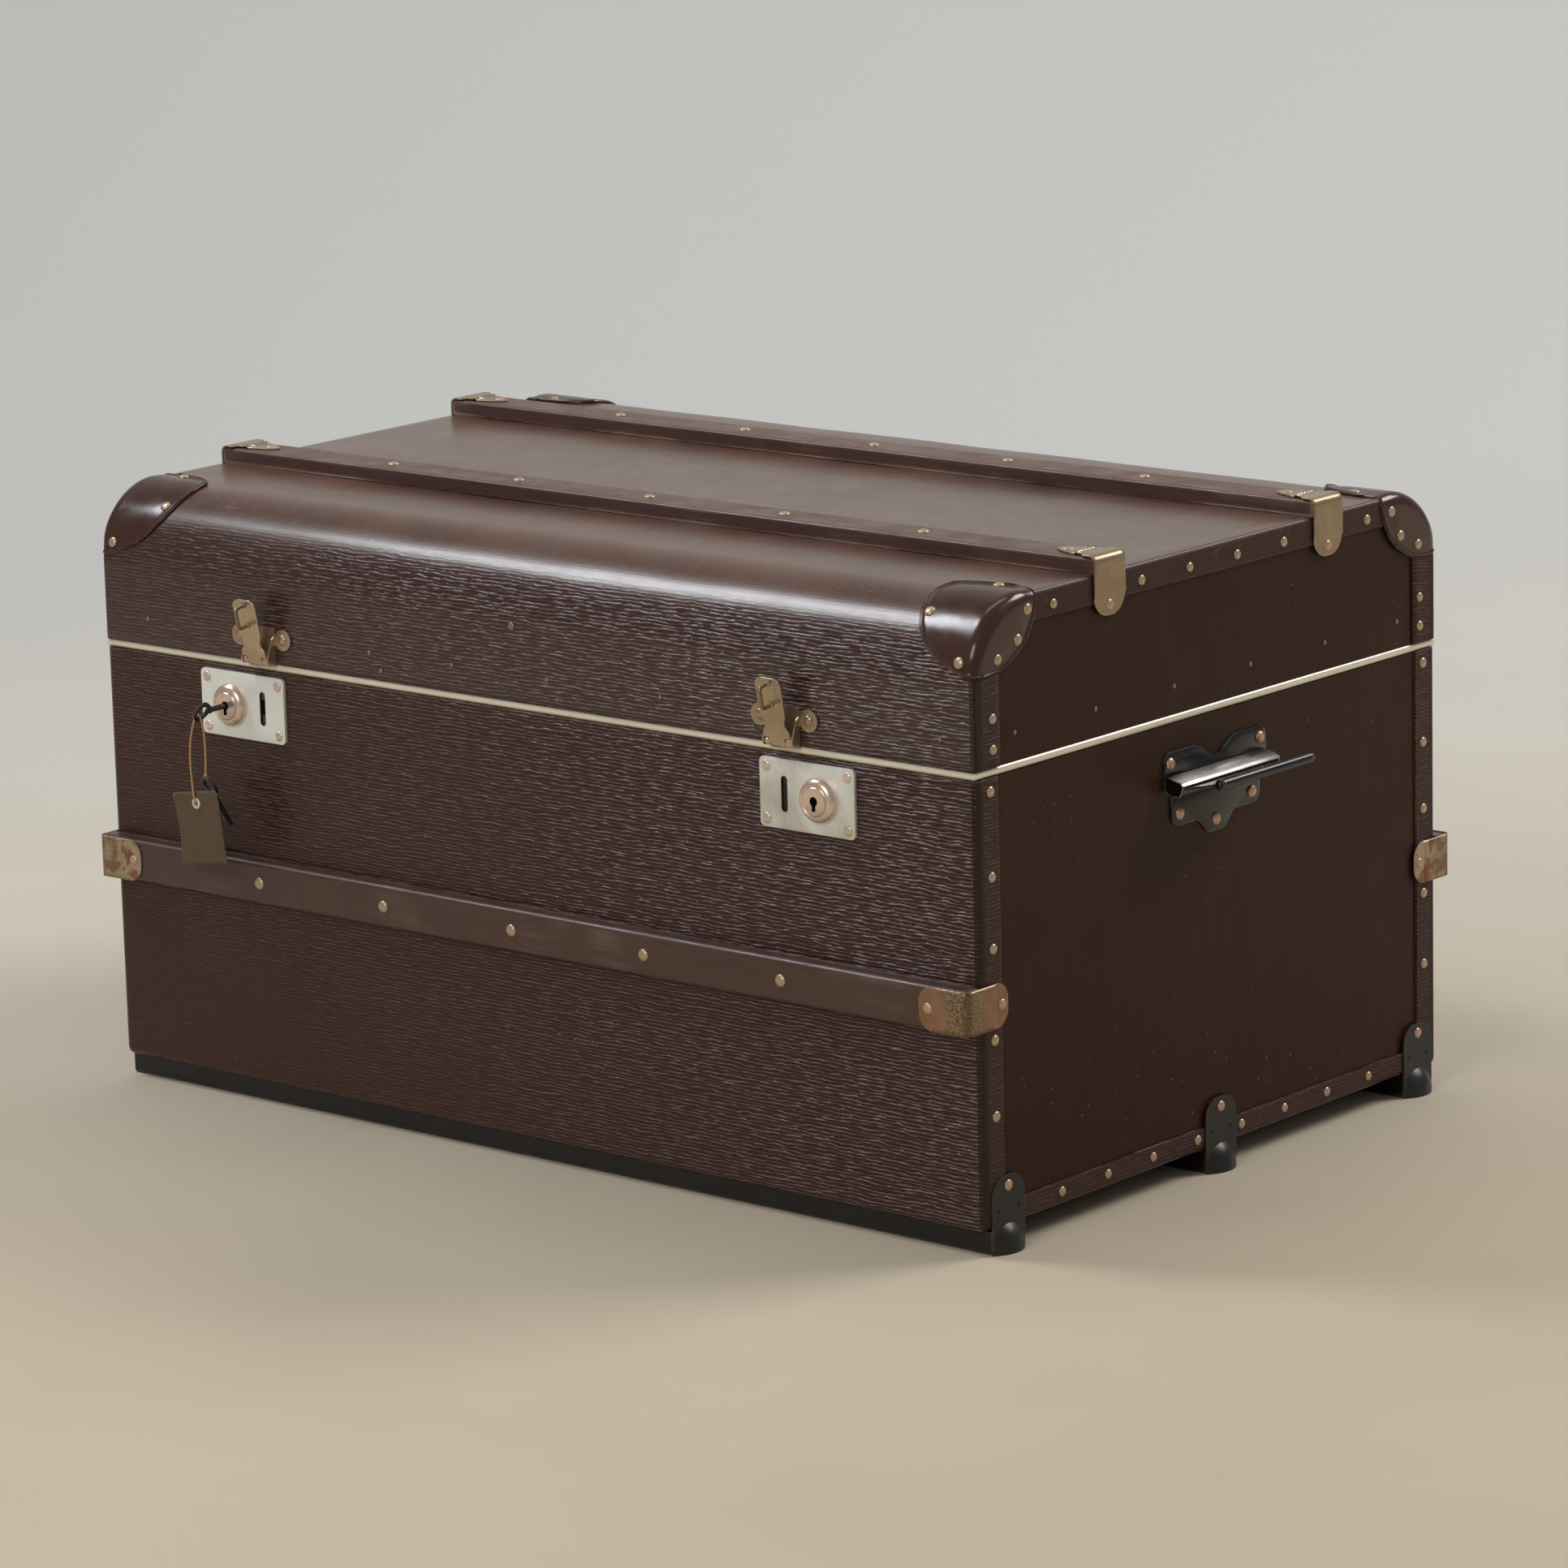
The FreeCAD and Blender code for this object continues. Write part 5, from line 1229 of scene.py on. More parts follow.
HANDLE_EARS = [(-64.5, 319.4, 0), (-64.5, 338.9, 8), (-24, 338.9, 15), (0, 325.0, 10)]
HANDLE_FOOT = [(-56, 303.5, 0), (-56, 280.6, 9), (-23, 280.6, 9), (-10, 267.9, 7)]
HANDLE_PLATE_RISE = 1.8
HOOD_AXIS, HOOD_ROUND, HOOD_HALF = (458.5, 311.0), 7.4, 62.0
CHEEK_THICKNESS = 1.6
GRIP_TIP = [(0, 2.7), (1.6, 2.5), (2.9, 1.8), (3.8, 0.8), (4.2, -0.4), (3.0, -1.2), (0, -1.2)]
GRIP_END = (496.3, 58.0, 319.7)


def handle_plates(where, side):
    """The eared upper plate and the lower plate on one end."""
    for name, corners, node in (("handle_ears_", HANDLE_EARS, "handle_plate_"),
                                ("handle_foot_", HANDLE_FOOT, "handle_backplate_")):
        sheet = shaped(pattern([rounded(mirrored(corners), 8)]),
                       lambda y, z: ((BOARD_END + HANDLE_PLATE_RISE) * side, y, z))
        plate = object_from(name + where, sheet, "black_enamel", "base", 35.0, thickness=1.7,
                            bevel=0.5)
        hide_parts(node + where)


def handle_hood(where, side):
    """The strip that bends out over the bar, and the cheeks that close its ends."""
    out, up = HOOD_AXIS
    rolled = arc(out, up, HOOD_ROUND, 66, 30, 9)
    section = [(BOARD_END + 0.4, 321.0), (BOARD_END + 2.0, 320.4)] + rolled
    stations = [HOOD_HALF * share for share in (-1.0, -0.5, 0.0, 0.5, 1.0)]
    verts = [(x * side, y, z) for x, z in section for y in stations]
    shape = (verts, grid_faces(len(section), len(stations)))
    hood = object_from("handle_hood_" + where, shape, "hood_steel", "base", 50.0,
                       thickness=1.4, bevel=0.3)
    cheek = [(BOARD_END + 0.4, 320.8)] + rolled
    cheek += [(out + 5.2, up - 0.5), (out + 3.0, up - 4.6), (out - 4.0, up - 4.6),
              (BOARD_END + 0.4, up - 1.0)]
    count = len(cheek)
    ends = []
    for y in (-HOOD_HALF, HOOD_HALF - CHEEK_THICKNESS):
        verts, faces = wall([(x * side, z) for x, z in cheek], y, y + CHEEK_THICKNESS)
        ends.append((verts, faces + [list(range(count)), list(range(count, 2 * count))]))
    cheeks = object_from("handle_cheeks_" + where, merged(ends), "black_enamel", "base",
                         facing="closed")


def build_handles():
    """The plates and hoods of both handles, and the rounded ends of their bars."""
    x, y, z = GRIP_END
    for side in (1, -1):
        where = side_name(side)
        handle_plates(where, side)
        handle_hood(where, side)
        tips = [turned_shape(GRIP_TIP, (x * side, y * end, z), (0, end, 0), 24)
                for end in (1, -1)]
        tip = object_from("grip_tips_" + where, merged(tips), "black_enamel", "grip_" + where,
                          50.0, facing="closed")


# Rivets and pins


def rivet_tree():
    """Geometry nodes: a domed head on every point, turned to its 'out' and sized by its 'size'."""
    tree = bpy.data.node_groups.new("Rivet heads", "GeometryNodeTree")
    face = tree.interface
    face.new_socket(name="Geometry", in_out="INPUT", socket_type="NodeSocketGeometry")
    rise = face.new_socket(name="Rise", in_out="INPUT", socket_type="NodeSocketFloat")
    rise.default_value = 0.5
    seed = face.new_socket(name="Seed", in_out="INPUT", socket_type="NodeSocketInt")
    seed.default_value = 3
    face.new_socket(name="Finish", in_out="INPUT", socket_type="NodeSocketMaterial")
    face.new_socket(name="Geometry", in_out="OUTPUT", socket_type="NodeSocketGeometry")
    b = Board(tree)
    given = b.node("NodeGroupInput").outputs
    head = b.node("GeometryNodeMeshUVSphere", {"Segments": 20, "Rings": 10, "Radius": 1.0})
    size = b.node("GeometryNodeInputNamedAttribute", {"Name": "size"}, data_type="FLOAT")
    out = b.node("GeometryNodeInputNamedAttribute", {"Name": "out"}, data_type="FLOAT_VECTOR")
    vary = b.node("FunctionNodeRandomValue", {"Seed": given["Seed"]}, data_type="FLOAT")
    # The random node keeps one set of sockets for each data type; these are the float ones.
    for socket in vary.inputs:
        if socket.type == "VALUE" and socket.name in ("Min", "Max"):
            socket.default_value = 0.96 if socket.name == "Min" else 1.04
    spread = next(s for s in vary.outputs if s.type == "VALUE" and s.enabled)
    wide = b.times(size.outputs["Attribute"], spread)
    tall = b.times(wide, given["Rise"])
    scale = b.node("ShaderNodeCombineXYZ", {0: wide, 1: wide, 2: tall}).outputs[0]
    turn = b.node("FunctionNodeAlignRotationToVector", {"Vector": out.outputs["Attribute"]},
                  axis="Z")
    placed = b.node("GeometryNodeInstanceOnPoints", {
        "Points": given["Geometry"], "Instance": head.outputs["Mesh"],
        "Rotation": turn.outputs["Rotation"], "Scale": scale})
    real = b.node("GeometryNodeRealizeInstances", {"Geometry": placed.outputs["Instances"]})
    soft = b.node("GeometryNodeSetShadeSmooth", {"Geometry": real.outputs[0]})
    painted = b.node("GeometryNodeSetMaterial", {"Geometry": soft.outputs[0],
                                                 "Material": given["Finish"]})
    b.node("NodeGroupOutput", {0: painted.outputs[0]})
    return tree


def build_rivets(name, places, finish_name, body, slot_name, rise=0.42):
    """places: (x, y, z, outward x, y, z, radius) in millimetres; rise: height over radius."""
    tree = bpy.data.node_groups.get("Rivet heads") or rivet_tree()
    mesh = bpy.data.meshes.new(name)
    mesh.from_pydata([Vector(place[:3]) * MM for place in places], [], [])
    size = mesh.attributes.new("size", "FLOAT", "POINT")
    out = mesh.attributes.new("out", "FLOAT_VECTOR", "POINT")
    for i, place in enumerate(places):
        size.data[i].value = place[6] * MM
        out.data[i].vector = Vector(place[3:6]).normalized()
    holder = linked(name, mesh)
    nodes = holder.modifiers.new("Rivets", "NODES")
    nodes.node_group = tree
    given = {"Rise": rise, "Finish": material(finish_name)}
    for item in tree.interface.items_tree:
        if item.in_out == "INPUT" and item.name in given:
            nodes[item.identifier] = given[item.name]
    bpy.context.view_layer.update()
    ready = holder.evaluated_get(bpy.context.evaluated_depsgraph_get())
    made = bpy.data.meshes.new_from_object(ready)
    bpy.data.objects.remove(holder)
    piece = linked(name, made)
    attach(piece, body)


def on_ends(out, points):
    """Rivets at (y, z, radius) on both ends."""
    return [(out * s, y, z, s, 0, 0, radius) for s in (1, -1) for y, z, radius in points]


def on_front(out, points):
    """Rivets at (x, z, radius) on the front."""
    return [(x, -out, z, 0, -1, 0, radius) for x, z, radius in points]


def on_rear(out, points):
    """Rivets at (x, z, radius) on the rear."""
    return [(x, out, z, 0, 1, 0, radius) for x, z, radius in points]


# Radii of the heads
RAIL_RIVET, SLAT_RIVET, CLIP_RIVET, PLATE_RIVET, RIM_RIVET = 4.8, 4.6, 4.3, 4.2, 4.0
FOOT_RIVET, HINGE_RIVET, PIN, HOLE = 3.8, 3.4, 1.8, 1.7
# Where the rows run
BASE_ROW, LID_ROW, FOOT_ROW_HEIGHT, TOP_ROW_HEIGHT, PIN_HEIGHT = 275.0, 271.0, 29.5, 476.5, 388.0
CLIP_RISE, FOOT_CAP_RISE = 0.9, 1.4
# On a corner cap: x and degrees up the roundover, and y and height on the end
CAP_AXIS, CAP_REACH = (-233.0, 430.0), 61.9
CAP_ROUND_RIVETS = ((436.7, 16.2), (394.6, 50.4))
CAP_END_RIVETS = ((-230.3, 478.2), (-242.4, 457.5), (-266.3, 446.8))


def base_rivets():
    rail = [(x, RAIL_HEIGHT, RAIL_RIVET) for x in (0, 136, -136, 272, -272)]
    ends = [(y, z, PLATE_RIVET) for y in (BASE_ROW, -BASE_ROW)
            for z in (350, 286, 232, 163, 105)]
    ends += [((i - 3.5) * 56.5, FOOT_ROW_HEIGHT, FOOT_RIVET) for i in range(8)]
    return on_front(RAIL_FACE, rail) + on_rear(RAIL_FACE, rail) + on_ends(SHEET_END, ends)


def lid_rivets():
    slats = [(x, y, SLAT_TOP, 0, 0, 1, SLAT_RIVET) for y in SLAT_ROWS
             for x in (0, 138, -138, 275, -275)]
    ends = [(y, z, RIM_RIVET) for y in (LID_ROW, -LID_ROW) for z in (380.5, 403.5)]
    ends += [(y, TOP_ROW_HEIGHT, RIM_RIVET) for y in (-197, -90, -30, 30, 90, 200)]
    return slats + on_ends(SHEET_END, ends)


def lid_pins():
    row = [(x, PIN_HEIGHT, PIN) for x in (-400, -154, -66, 33, 148, 418)]
    ends = [((i - 2.5) * 97, PIN_HEIGHT, PIN) for i in range(6)]
    strays = [(-142.0, 374.7, PIN), (-2.0, 426.0, 3.4)]
    return (on_front(SHEET_FACE, row) + on_rear(SHEET_FACE, row) + on_ends(BOARD_END, ends)
            + on_front(SHEET_FACE, strays))


def cap_rivets():
    """Two rivets on the roundover, one on the top and three on the end of each cap."""
    axis_y, axis_z = CAP_AXIS
    places = []
    for sx in (1, -1):
        for sy in (1, -1):
            for x, degrees in CAP_ROUND_RIVETS:
                ny, nz = -math.cos(math.radians(degrees)), math.sin(math.radians(degrees))
                places.append((x * sx, (axis_y + CAP_REACH * ny) * sy, axis_z + CAP_REACH * nz,
                               0, ny * sy, nz, CLIP_RIVET))
            places.append((421.0 * sx, -224.5 * sy, 491.9, 0, 0, 1, CLIP_RIVET))
            for y, z in CAP_END_RIVETS:
                places.append(((SHEET_END + 2) * sx, y * sy, z, sx, 0, 0, CLIP_RIVET))
    return places


def slat_clip_rivets():
    places = []
    for s in (1, -1):
        for y in SLAT_ROWS:
            places += [(413.0 * s, y, SLAT_TOP + CLIP_RISE, 0, 0, 1, CLIP_RIVET),
                       ((SHEET_END + 1.2) * s, y, 465.0, s, 0, 0, CLIP_RIVET)]
    return places


def rail_clip_rivets():
    places = []
    for s in (1, -1):
        for front in (1, -1):
            places += [(413.8 * s, -(RAIL_FACE + CLIP_RISE) * front, RAIL_HEIGHT,
                        0, -front, 0, CLIP_RIVET),
                       ((SHEET_END + 1.4) * s, -267.3 * front, RAIL_HEIGHT,
                        s, 0, 0, CLIP_RIVET)]
    return places


def lock_rivets():
    return on_front(-PLATE_FACE, [
        (PLATE_X * s + dx, LOCK_HEIGHT + dz, PLATE_RIVET)
        for s in (1, -1) for dx in (39.15, -39.15) for dz in (20.15, -20.15)])


def bracket_rivets():
    return on_front(SHEET_FACE + 1.4, [(HASP_X * s + dx, 387.5, PLATE_RIVET)
                                       for s in (1, -1) for dx in (23.5, -23.5)])


def handle_rivets():
    return on_ends(BOARD_END + HANDLE_PLATE_RISE, [(y, z, RAIL_RIVET) for y, z in (
        (0, 277.2), (57, 330), (-57, 330), (46, 289.7), (-46, 289.7))])


def foot_places():
    """Side and y of each foot cap; the front left batten has none."""
    return [(s, y) for s in (1, -1) for y in (-264, 0, 264) if not (s < 0 and y < 0)]


def foot_rivets():
    return [((SHEET_END + FOOT_CAP_RISE) * s, y, 50.5, s, 0, 0, PLATE_RIVET)
            for s, y in foot_places()]


def foot_hole_shades():
    """Discs of painted shade just under the face of the foot caps, where their holes are."""
    return [((SHEET_END + FOOT_CAP_RISE - 0.02) * s, y + dy, 32.5, s, 0, 0, HOLE)
            for s, y in foot_places() for dy in (11.7, -11.7)]


def hinge_rivets(heights):
    return on_rear(SHEET_FACE + 1.8, [(x + dx, z, HINGE_RIVET) for x in (-270, 270)
                                      for dx in (-12, 12) for z in heights])


# String, tag and key


STRING_ROUTE = [(-315.0, -332.5, 254.6), (-321.4, -331.9, 291.0), (-313.4, -330.0, 326.75),
                (-306.2, -330.0, 326.15), (-302.2, -330.0, 302.0), (-304.0, -330.0, 277.6)]
STRING_RADIUS = 0.8
KNOT_RADIUS = 0.62
TAG_EYE, TAG_ROLL = (-314.8, -331.42, 253.9), 8.5
TAG_HALF, TAG_TOP, TAG_FOOT = 25, 9.5, -49.5
EYELET_RINGS = [(2.0, 0.9), (2.0, -0.25), (2.6, -0.55), (3.6, -0.5), (4.4, -0.1), (4.4, 0.05),
                (3.0, 0.05)]
KEY_SLEEVE = [(0, 0), (2.3, 0), (2.3, 17.6), (3.0, 18.0), (3.0, 19.6), (2.3, 20.0), (2.0, 20.8),
              (0, 20.8)]


def build_string():
    """The string as one smooth spline along its route."""
    curve = bpy.data.curves.new("tag_string", "CURVE")
    curve.dimensions = "3D"
    spline = curve.splines.new("NURBS")
    spline.points.add(len(STRING_ROUTE) - 1)
    for point, place in zip(spline.points, STRING_ROUTE):
        point.co = tuple(v * MM for v in place) + (1.0,)
    spline.order_u = 3
    spline.use_endpoint_u = True
    spline.resolution_u = 24
    curve.bevel_depth = STRING_RADIUS * MM
    curve.bevel_resolution = 5
    curve.use_fill_caps = True
    curve.materials.append(material("tan_string"))
    string = linked("tag_string", curve)
    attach(string, "tag_set")
    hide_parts("key_string")
    return string


def build_tag():
    """The card, drawn in along its left edge and curled, and the eyelet in it."""
    eye = Vector(TAG_EYE)
    roll = Matrix.Rotation(math.radians(TAG_ROLL), 3, (0, -1, 0))

    def card_place(u, w):
        edge = abs(u) / TAG_HALF
        along = math.sin(math.pi * (TAG_TOP - w) / (TAG_TOP - TAG_FOOT)) ** 2
        pull = 2.4 * along * (1 if u < 0 else 0.15) * edge
        curl = 0.5 * edge ** 2 * (1 - math.exp(-((w / 9) ** 2)))
        return eye + roll @ Vector((u + pull, -curl, w))

    corners = [(-TAG_HALF, TAG_TOP, 3.0), (TAG_HALF, TAG_TOP, 3.0),
               (TAG_HALF, TAG_FOOT, 2.0), (-TAG_HALF, TAG_FOOT, 2.0)]
    sheet = shaped(pattern([rounded(corners), circle(0, 0, 2.2)], 2.5, 2.5), card_place)
    card = object_from("tag_card", sheet, "tag_card", "tag_set", thickness=0.8)
    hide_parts("tag")
    verts = [eye + roll @ Vector((u, off, w)) for radius, off in EYELET_RINGS
             for u, w in circle(0, 0, radius, 32)]
    shape = (verts, ring_faces(len(EYELET_RINGS), 32, closed=True))
    eyelet = object_from("tag_eyelet", shape, "eyelet_paint", "tag_set", 50.0, facing="closed")
    return card, eyelet


def build_key_sleeve():
    """The key's shaft is thicker behind its bow, with a collar."""
    shape = turned_shape(KEY_SLEEVE, (-BOSS_X, -302.0, LOCK_HEIGHT), (0, -1, 0), 24)
    sleeve = object_from("key_sleeve", shape, "dark_key", "key", facing="closed")


def build_knots():
    """Two crossed loops at each end of the string."""
    knots = []
    for place, spread in ((STRING_ROUTE[0], 1.5), (STRING_ROUTE[-1], 1.4)):
        for degrees in (50, 130):
            tilt = Matrix.Rotation(math.radians(degrees), 3, "Y")
            loop = []
            for k in range(17):
                angle = math.tau * k / 16
                loop.append(Vector(place) + tilt @ Vector((
                    spread * math.cos(angle), spread * math.sin(angle) * 0.7,
                    0.5 * math.sin(2 * angle))))
            knots.append(tube(loop, KNOT_RADIUS, 10))
    knot = object_from("string_knots", merged(knots), "tan_string", "tag_set", 60.0,
                       facing="closed")
    return knot


def build_string_and_tag():
    string = build_string()
    card, eyelet = build_tag()
    build_key_sleeve()
    pieces = [card, eyelet, build_knots(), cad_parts["spare_key"]]


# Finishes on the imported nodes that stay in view


NODE_FINISHES = {
    "fibre_front": ["base_wrap"],
    "fibre_end": ["base_end_left", "base_end_right", "lid_end_left", "lid_end_right"],
    "lining_board": ["base_liner", "lid_liner", "base_lip"],
    "slat_wood": ["rail_front", "rail_rear", "slat_front", "slat_rear"],
    "black_batten": ["batten_front", "batten_middle", "batten_rear"],
    "black_steel": ["foot_caps", "hinge_base_leaf_left", "hinge_base_leaf_right",
                    "hinge_lid_leaf_left", "hinge_lid_leaf_right"],
    "brown_nickel": ["lock_case_left", "lock_case_right"],
    # The bolts behind the slots are painted shade, so that the slots stay dark.
    "hollow_shade": ["lock_bolt_left", "lock_bolt_right"],
    "black_enamel": ["grip_left", "grip_right"],
    "bead_metal": ["lid_bead"],
    "hasp_plate": ["hasp_bracket_left", "hasp_bracket_right"],
    "dark_key": ["key", "spare_key"],
}


def paint_packed_nodes():
    for finish_name, nodes in NODE_FINISHES.items():
        for node in nodes:
            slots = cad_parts[node].material_slots
            if not slots:
                raise RuntimeError(node + " has no material slot")
            for slot in slots:
                slot.material = material(finish_name)


# Floor, backdrop, lamps and camera, in metres and degrees


CAMERA_TURN, CAMERA_RISE, CAMERA_ROLL = 40.41, 12.75, -1.47
CAMERA_PLACE = (3.3552, -3.9186, 1.4138)
SENSOR_WIDTH, LENS, VIEW_END = 36.0, 150.87, 60.0
FLOOR_FRONT, FLOOR_REAR, FLOOR_HALF, BACKDROP_TOP = -9.0, 2.2, 12.0, 7.0
BACKDROP_BEND = 1.6
COOL, WARM = (0.93, 0.96, 1.0), (1.0, 0.975, 0.945)
WORLD_COLOUR, WORLD_STRENGTH = (1.0, 0.985, 0.96, 1.0), 0.26
# Each lamp's name, place, aim, width, height, watts and colour
LAMPS = (
    ("softbox_left", (-1.95, -1.1, 3.05), (0.1, -0.2, 0.35), 0.8, 1.1, 48.0, COOL),
    ("softbox_rear", (2.0, 2.9, 3.2), (0, 0, 0.3), 2.0, 1.6, 104.0, WARM),
    ("softbox_front", (0.8, -4.2, 2.6), (0, 0, 0.25), 1.8, 1.8, 58.0, WARM),
    ("softbox_wall", (-0.8, 0.9, 4.8), (-2.5, 2.9, 1.4), 3.0, 1.4, 40.0, WARM),
)


def clear_from_behind(paint):
    """Make the back of the backdrop invisible, so that it doesn't block a view from behind."""
    tree = paint.node_tree
    output = next(n for n in tree.nodes if n.type == "OUTPUT_MATERIAL")
    solid = output.inputs["Surface"].links[0].from_socket
    board = Board(tree)
    behind = board.node("ShaderNodeNewGeometry").outputs["Backfacing"]
    clear = board.node("ShaderNodeBsdfTransparent").outputs[0]
    blend = board.node("ShaderNodeMixShader", {0: behind, 1: solid, 2: clear})
    tree.links.new(blend.outputs[0], output.inputs["Surface"])


def build_floor():
    """The floor runs back and rises in a wide curve to the backdrop."""
    profile = [(FLOOR_FRONT, 0.0), (FLOOR_REAR, 0.0)]
    profile += arc(FLOOR_REAR, BACKDROP_BEND, BACKDROP_BEND, -84, 0, 14)
    profile += [(FLOOR_REAR + BACKDROP_BEND, BACKDROP_TOP)]
    turn = Matrix.Rotation(math.radians(CAMERA_TURN), 3, "Z")
    verts = [turn @ Vector((x, along, z)) for along, z in profile
             for x in (-FLOOR_HALF, FLOOR_HALF)]
    mesh = bpy.data.meshes.new("floor")
    mesh.from_pydata(verts, [], grid_faces(len(profile), 2))
    if mesh.polygons[0].normal.z < 0:
        mesh.flip_normals()
    mesh.polygons.foreach_set("use_smooth", [True] * len(mesh.polygons))
    clear_from_behind(material("floor_paint"))
    mesh.materials.append(material("floor_paint"))
    linked("floor", mesh)


def build_lights():
    world = bpy.data.worlds.new("studio")
    bpy.context.scene.world = world
    world.use_nodes = True
    shade = world.node_tree.nodes["Background"]
    shade.inputs["Color"].default_value = WORLD_COLOUR
    shade.inputs["Strength"].default_value = WORLD_STRENGTH
    for name, place, aim, wide, tall, power, tint in LAMPS:
        lamp = bpy.data.lights.new(name, "AREA")
        lamp.shape = "RECTANGLE"
        lamp.size = wide
        lamp.size_y = tall
        lamp.energy = power
        lamp.color = tint
        holder = linked(name, lamp)
        holder.location = place
        holder.rotation_euler = (Vector(aim) - Vector(place)).to_track_quat("-Z", "Y").to_euler()
    bpy.context.scene.view_settings.view_transform = "Standard"


def build_camera():
    """The camera that was fitted to the photograph."""
    turn, rise, roll = map(math.radians, (CAMERA_TURN, CAMERA_RISE, CAMERA_ROLL))
    back = Vector((math.sin(turn) * math.cos(rise), -math.cos(turn) * math.cos(rise),
                   math.sin(rise)))
    right = Vector((math.cos(turn), math.sin(turn), 0))
    up = back.cross(right)
    level = right * math.cos(roll) + up * math.sin(roll)
    stand = up * math.cos(roll) - right * math.sin(roll)
    matrix = Matrix((level, stand, back)).transposed().to_4x4()
    matrix.translation = CAMERA_PLACE
    lens = bpy.data.cameras.new("camera")
    lens.sensor_width = SENSOR_WIDTH
    lens.lens = LENS
    lens.clip_end = VIEW_END
    camera = linked("camera", lens)
    camera.matrix_world = matrix
    bpy.context.scene.camera = camera


# Operators


class TRUNK_OT_finishes(bpy.types.Operator):
    """Build the shared shader groups and every finish"""
    bl_idname = "trunk.finishes"
    bl_label = "Finishes"

    def execute(self, context):
        build_finishes()
        return {"FINISHED"}


class TRUNK_OT_packed_nodes(bpy.types.Operator):
    """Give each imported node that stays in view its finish"""
    bl_idname = "trunk.packed_nodes"
    bl_label = "Packed nodes"

    def execute(self, context):
        paint_packed_nodes()
        return {"FINISHED"}


class TRUNK_OT_lid_skin(bpy.types.Operator):
    """Fold the lid's fibre skin"""
    bl_idname = "trunk.lid_skin"
    bl_label = "Lid skin"

    def execute(self, context):
        build_lid_skin()
        return {"FINISHED"}


class TRUNK_OT_corner_caps(bpy.types.Operator):
    """Mould the four corner caps and rivet them"""
    bl_idname = "trunk.corner_caps"
    bl_label = "Corner caps"

    def execute(self, context):
        build_caps()
        build_rivets("cap_rivets", cap_rivets(), "brass_plate", "lid", "worn_brass")
        return {"FINISHED"}


class TRUNK_OT_clips(bpy.types.Operator):
    """Bend the clips over the slat and rail ends and rivet them"""
    bl_idname = "trunk.clips"
    bl_label = "Clips"

    def execute(self, context):
        build_slat_clips()
        build_rail_clips()
        build_rivets("slat_clip_rivets", slat_clip_rivets(), "copper_plate", "lid", "worn_brass")
        build_rivets("rail_clip_rivets", rail_clip_rivets(), "copper_plate", "base", "worn_brass")
        return {"FINISHED"}


class TRUNK_OT_locks(bpy.types.Operator):
    """Press the lock plates and their domes"""
    bl_idname = "trunk.locks"
    bl_label = "Locks"

    def execute(self, context):
        build_locks()
        build_bosses()
        return {"FINISHED"}


class TRUNK_OT_hasps(bpy.types.Operator):
    """Make both hasps with their wire staples, and rivet their brackets"""
    bl_idname = "trunk.hasps"
    bl_label = "Hasps"

    def execute(self, context):
        build_hasp(-1)
        build_hasp(1)
        build_rivets("bracket_rivets", bracket_rivets(), "hasp_plate", "lid", "worn_nickel")
        return {"FINISHED"}


class TRUNK_OT_handles(bpy.types.Operator):
    """Cut the handle plates and bend their hoods"""
    bl_idname = "trunk.handles"
    bl_label = "Handles"

    def execute(self, context):
        build_handles()
        return {"FINISHED"}


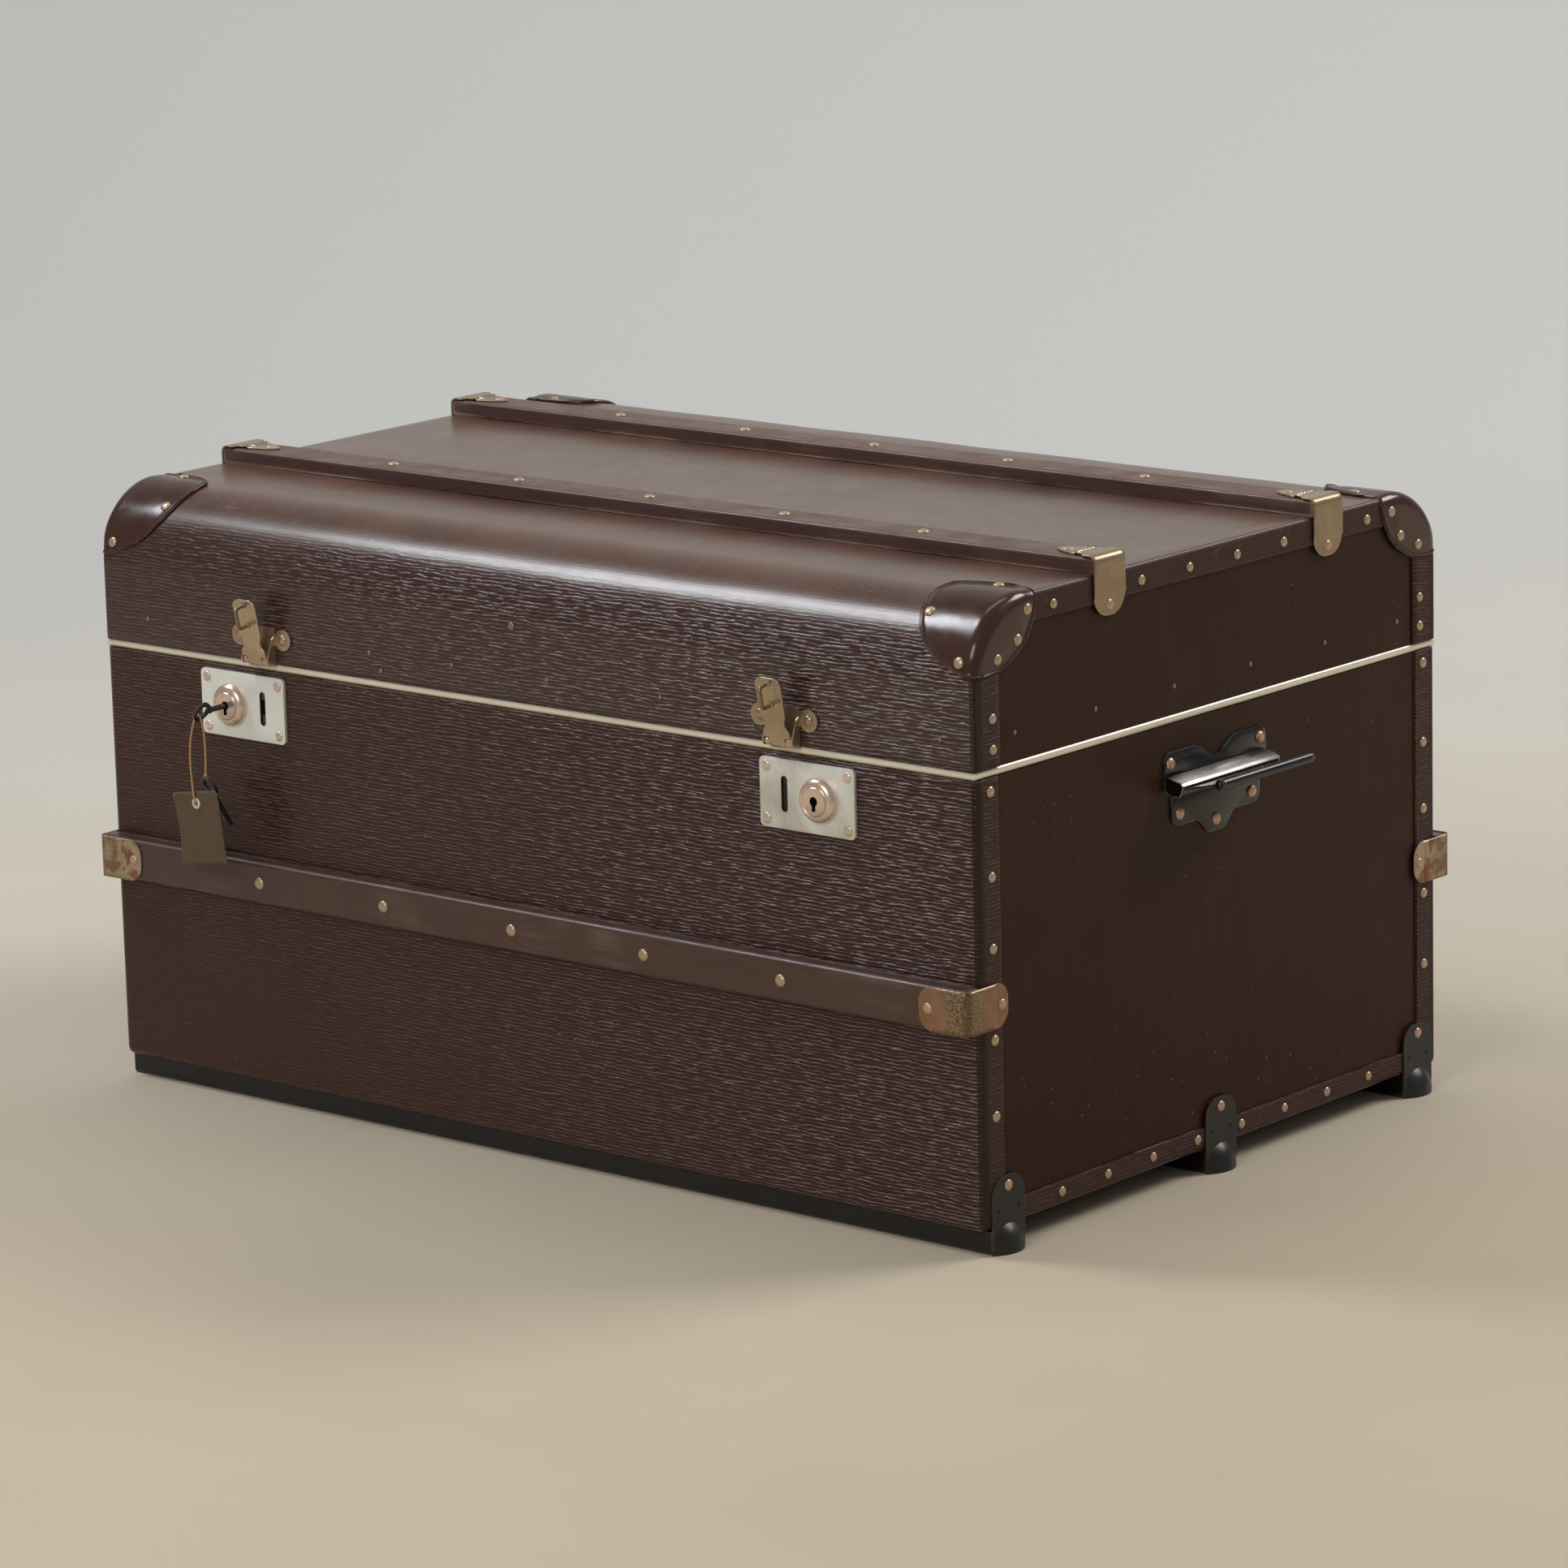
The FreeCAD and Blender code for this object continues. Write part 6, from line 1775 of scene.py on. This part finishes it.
class TRUNK_OT_rivets(bpy.types.Operator):
    """Set the rivets and pins of the base, lid, locks, handles, feet and hinges"""
    bl_idname = "trunk.rivets"
    bl_label = "Rivets"

    def execute(self, context):
        for name, places, finish_name, body, slot_name, rise in (
                ("base_rivets", base_rivets(), "brass_plate", "base", "worn_brass", 0.42),
                ("lid_rivets", lid_rivets(), "brass_plate", "lid", "worn_brass", 0.42),
                ("lid_pins", lid_pins(), "pin_plate", "lid", "worn_brass", 0.35),
                ("lock_rivets", lock_rivets(), "lock_rivet", "base", "worn_nickel", 0.36),
                ("handle_rivets", handle_rivets(), "copper_plate", "base", "worn_brass", 0.5),
                ("foot_rivets", foot_rivets(), "copper_plate", "base", "worn_brass", 0.42),
                ("hinge_base_rivets", hinge_rivets((344, 324)), "black_steel", "base",
                 "black_steel", 0.42),
                ("hinge_lid_rivets", hinge_rivets((384, 404)), "black_steel", "lid",
                 "black_steel", 0.42),
                ("foot_hole_shades", foot_hole_shades(), "hole_shade", "base", "black_steel", 0.06)):
            build_rivets(name, places, finish_name, body, slot_name, rise)
        return {"FINISHED"}


class TRUNK_OT_key_tag(bpy.types.Operator):
    """Hang the string and the tag, and fit the sleeve on the key"""
    bl_idname = "trunk.key_tag"
    bl_label = "Key tag"

    def execute(self, context):
        build_string_and_tag()
        return {"FINISHED"}


class TRUNK_OT_stage(bpy.types.Operator):
    """Set the floor, backdrop, lamps and camera"""
    bl_idname = "trunk.stage"
    bl_label = "Stage"

    def execute(self, context):
        build_floor()
        build_lights()
        build_camera()
        return {"FINISHED"}


OPERATORS = (TRUNK_OT_finishes, TRUNK_OT_packed_nodes, TRUNK_OT_lid_skin, TRUNK_OT_corner_caps,
             TRUNK_OT_clips, TRUNK_OT_locks, TRUNK_OT_hasps, TRUNK_OT_handles, TRUNK_OT_rivets,
             TRUNK_OT_key_tag, TRUNK_OT_stage)


class TRUNK_PT_panel(bpy.types.Panel):
    bl_label = "Travelling trunk"
    bl_idname = "TRUNK_PT_panel"
    bl_space_type = "VIEW_3D"
    bl_region_type = "UI"
    bl_category = "Trunk"

    def draw(self, context):
        for group in (context.scene.trunk_sizes, context.scene.trunk_colours):
            box = self.layout.box()
            for name in group.__annotations__:
                box.prop(group, name)
        for operator in OPERATORS:
            self.layout.operator(operator.bl_idname)


CLASSES = (TrunkSizes, TrunkColours) + OPERATORS + (TRUNK_PT_panel,)


def register():
    for cls in CLASSES:
        bpy.utils.register_class(cls)
    bpy.types.Scene.trunk_sizes = bpy.props.PointerProperty(type=TrunkSizes)
    bpy.types.Scene.trunk_colours = bpy.props.PointerProperty(type=TrunkColours)


def unregister():
    del bpy.types.Scene.trunk_colours
    del bpy.types.Scene.trunk_sizes
    for cls in reversed(CLASSES):
        bpy.utils.unregister_class(cls)


def main():
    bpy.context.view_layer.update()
    register()
    for operator in OPERATORS:
        group, name = operator.bl_idname.split(".")
        getattr(getattr(bpy.ops, group), name)()


if __name__ == "__main__":
    main()
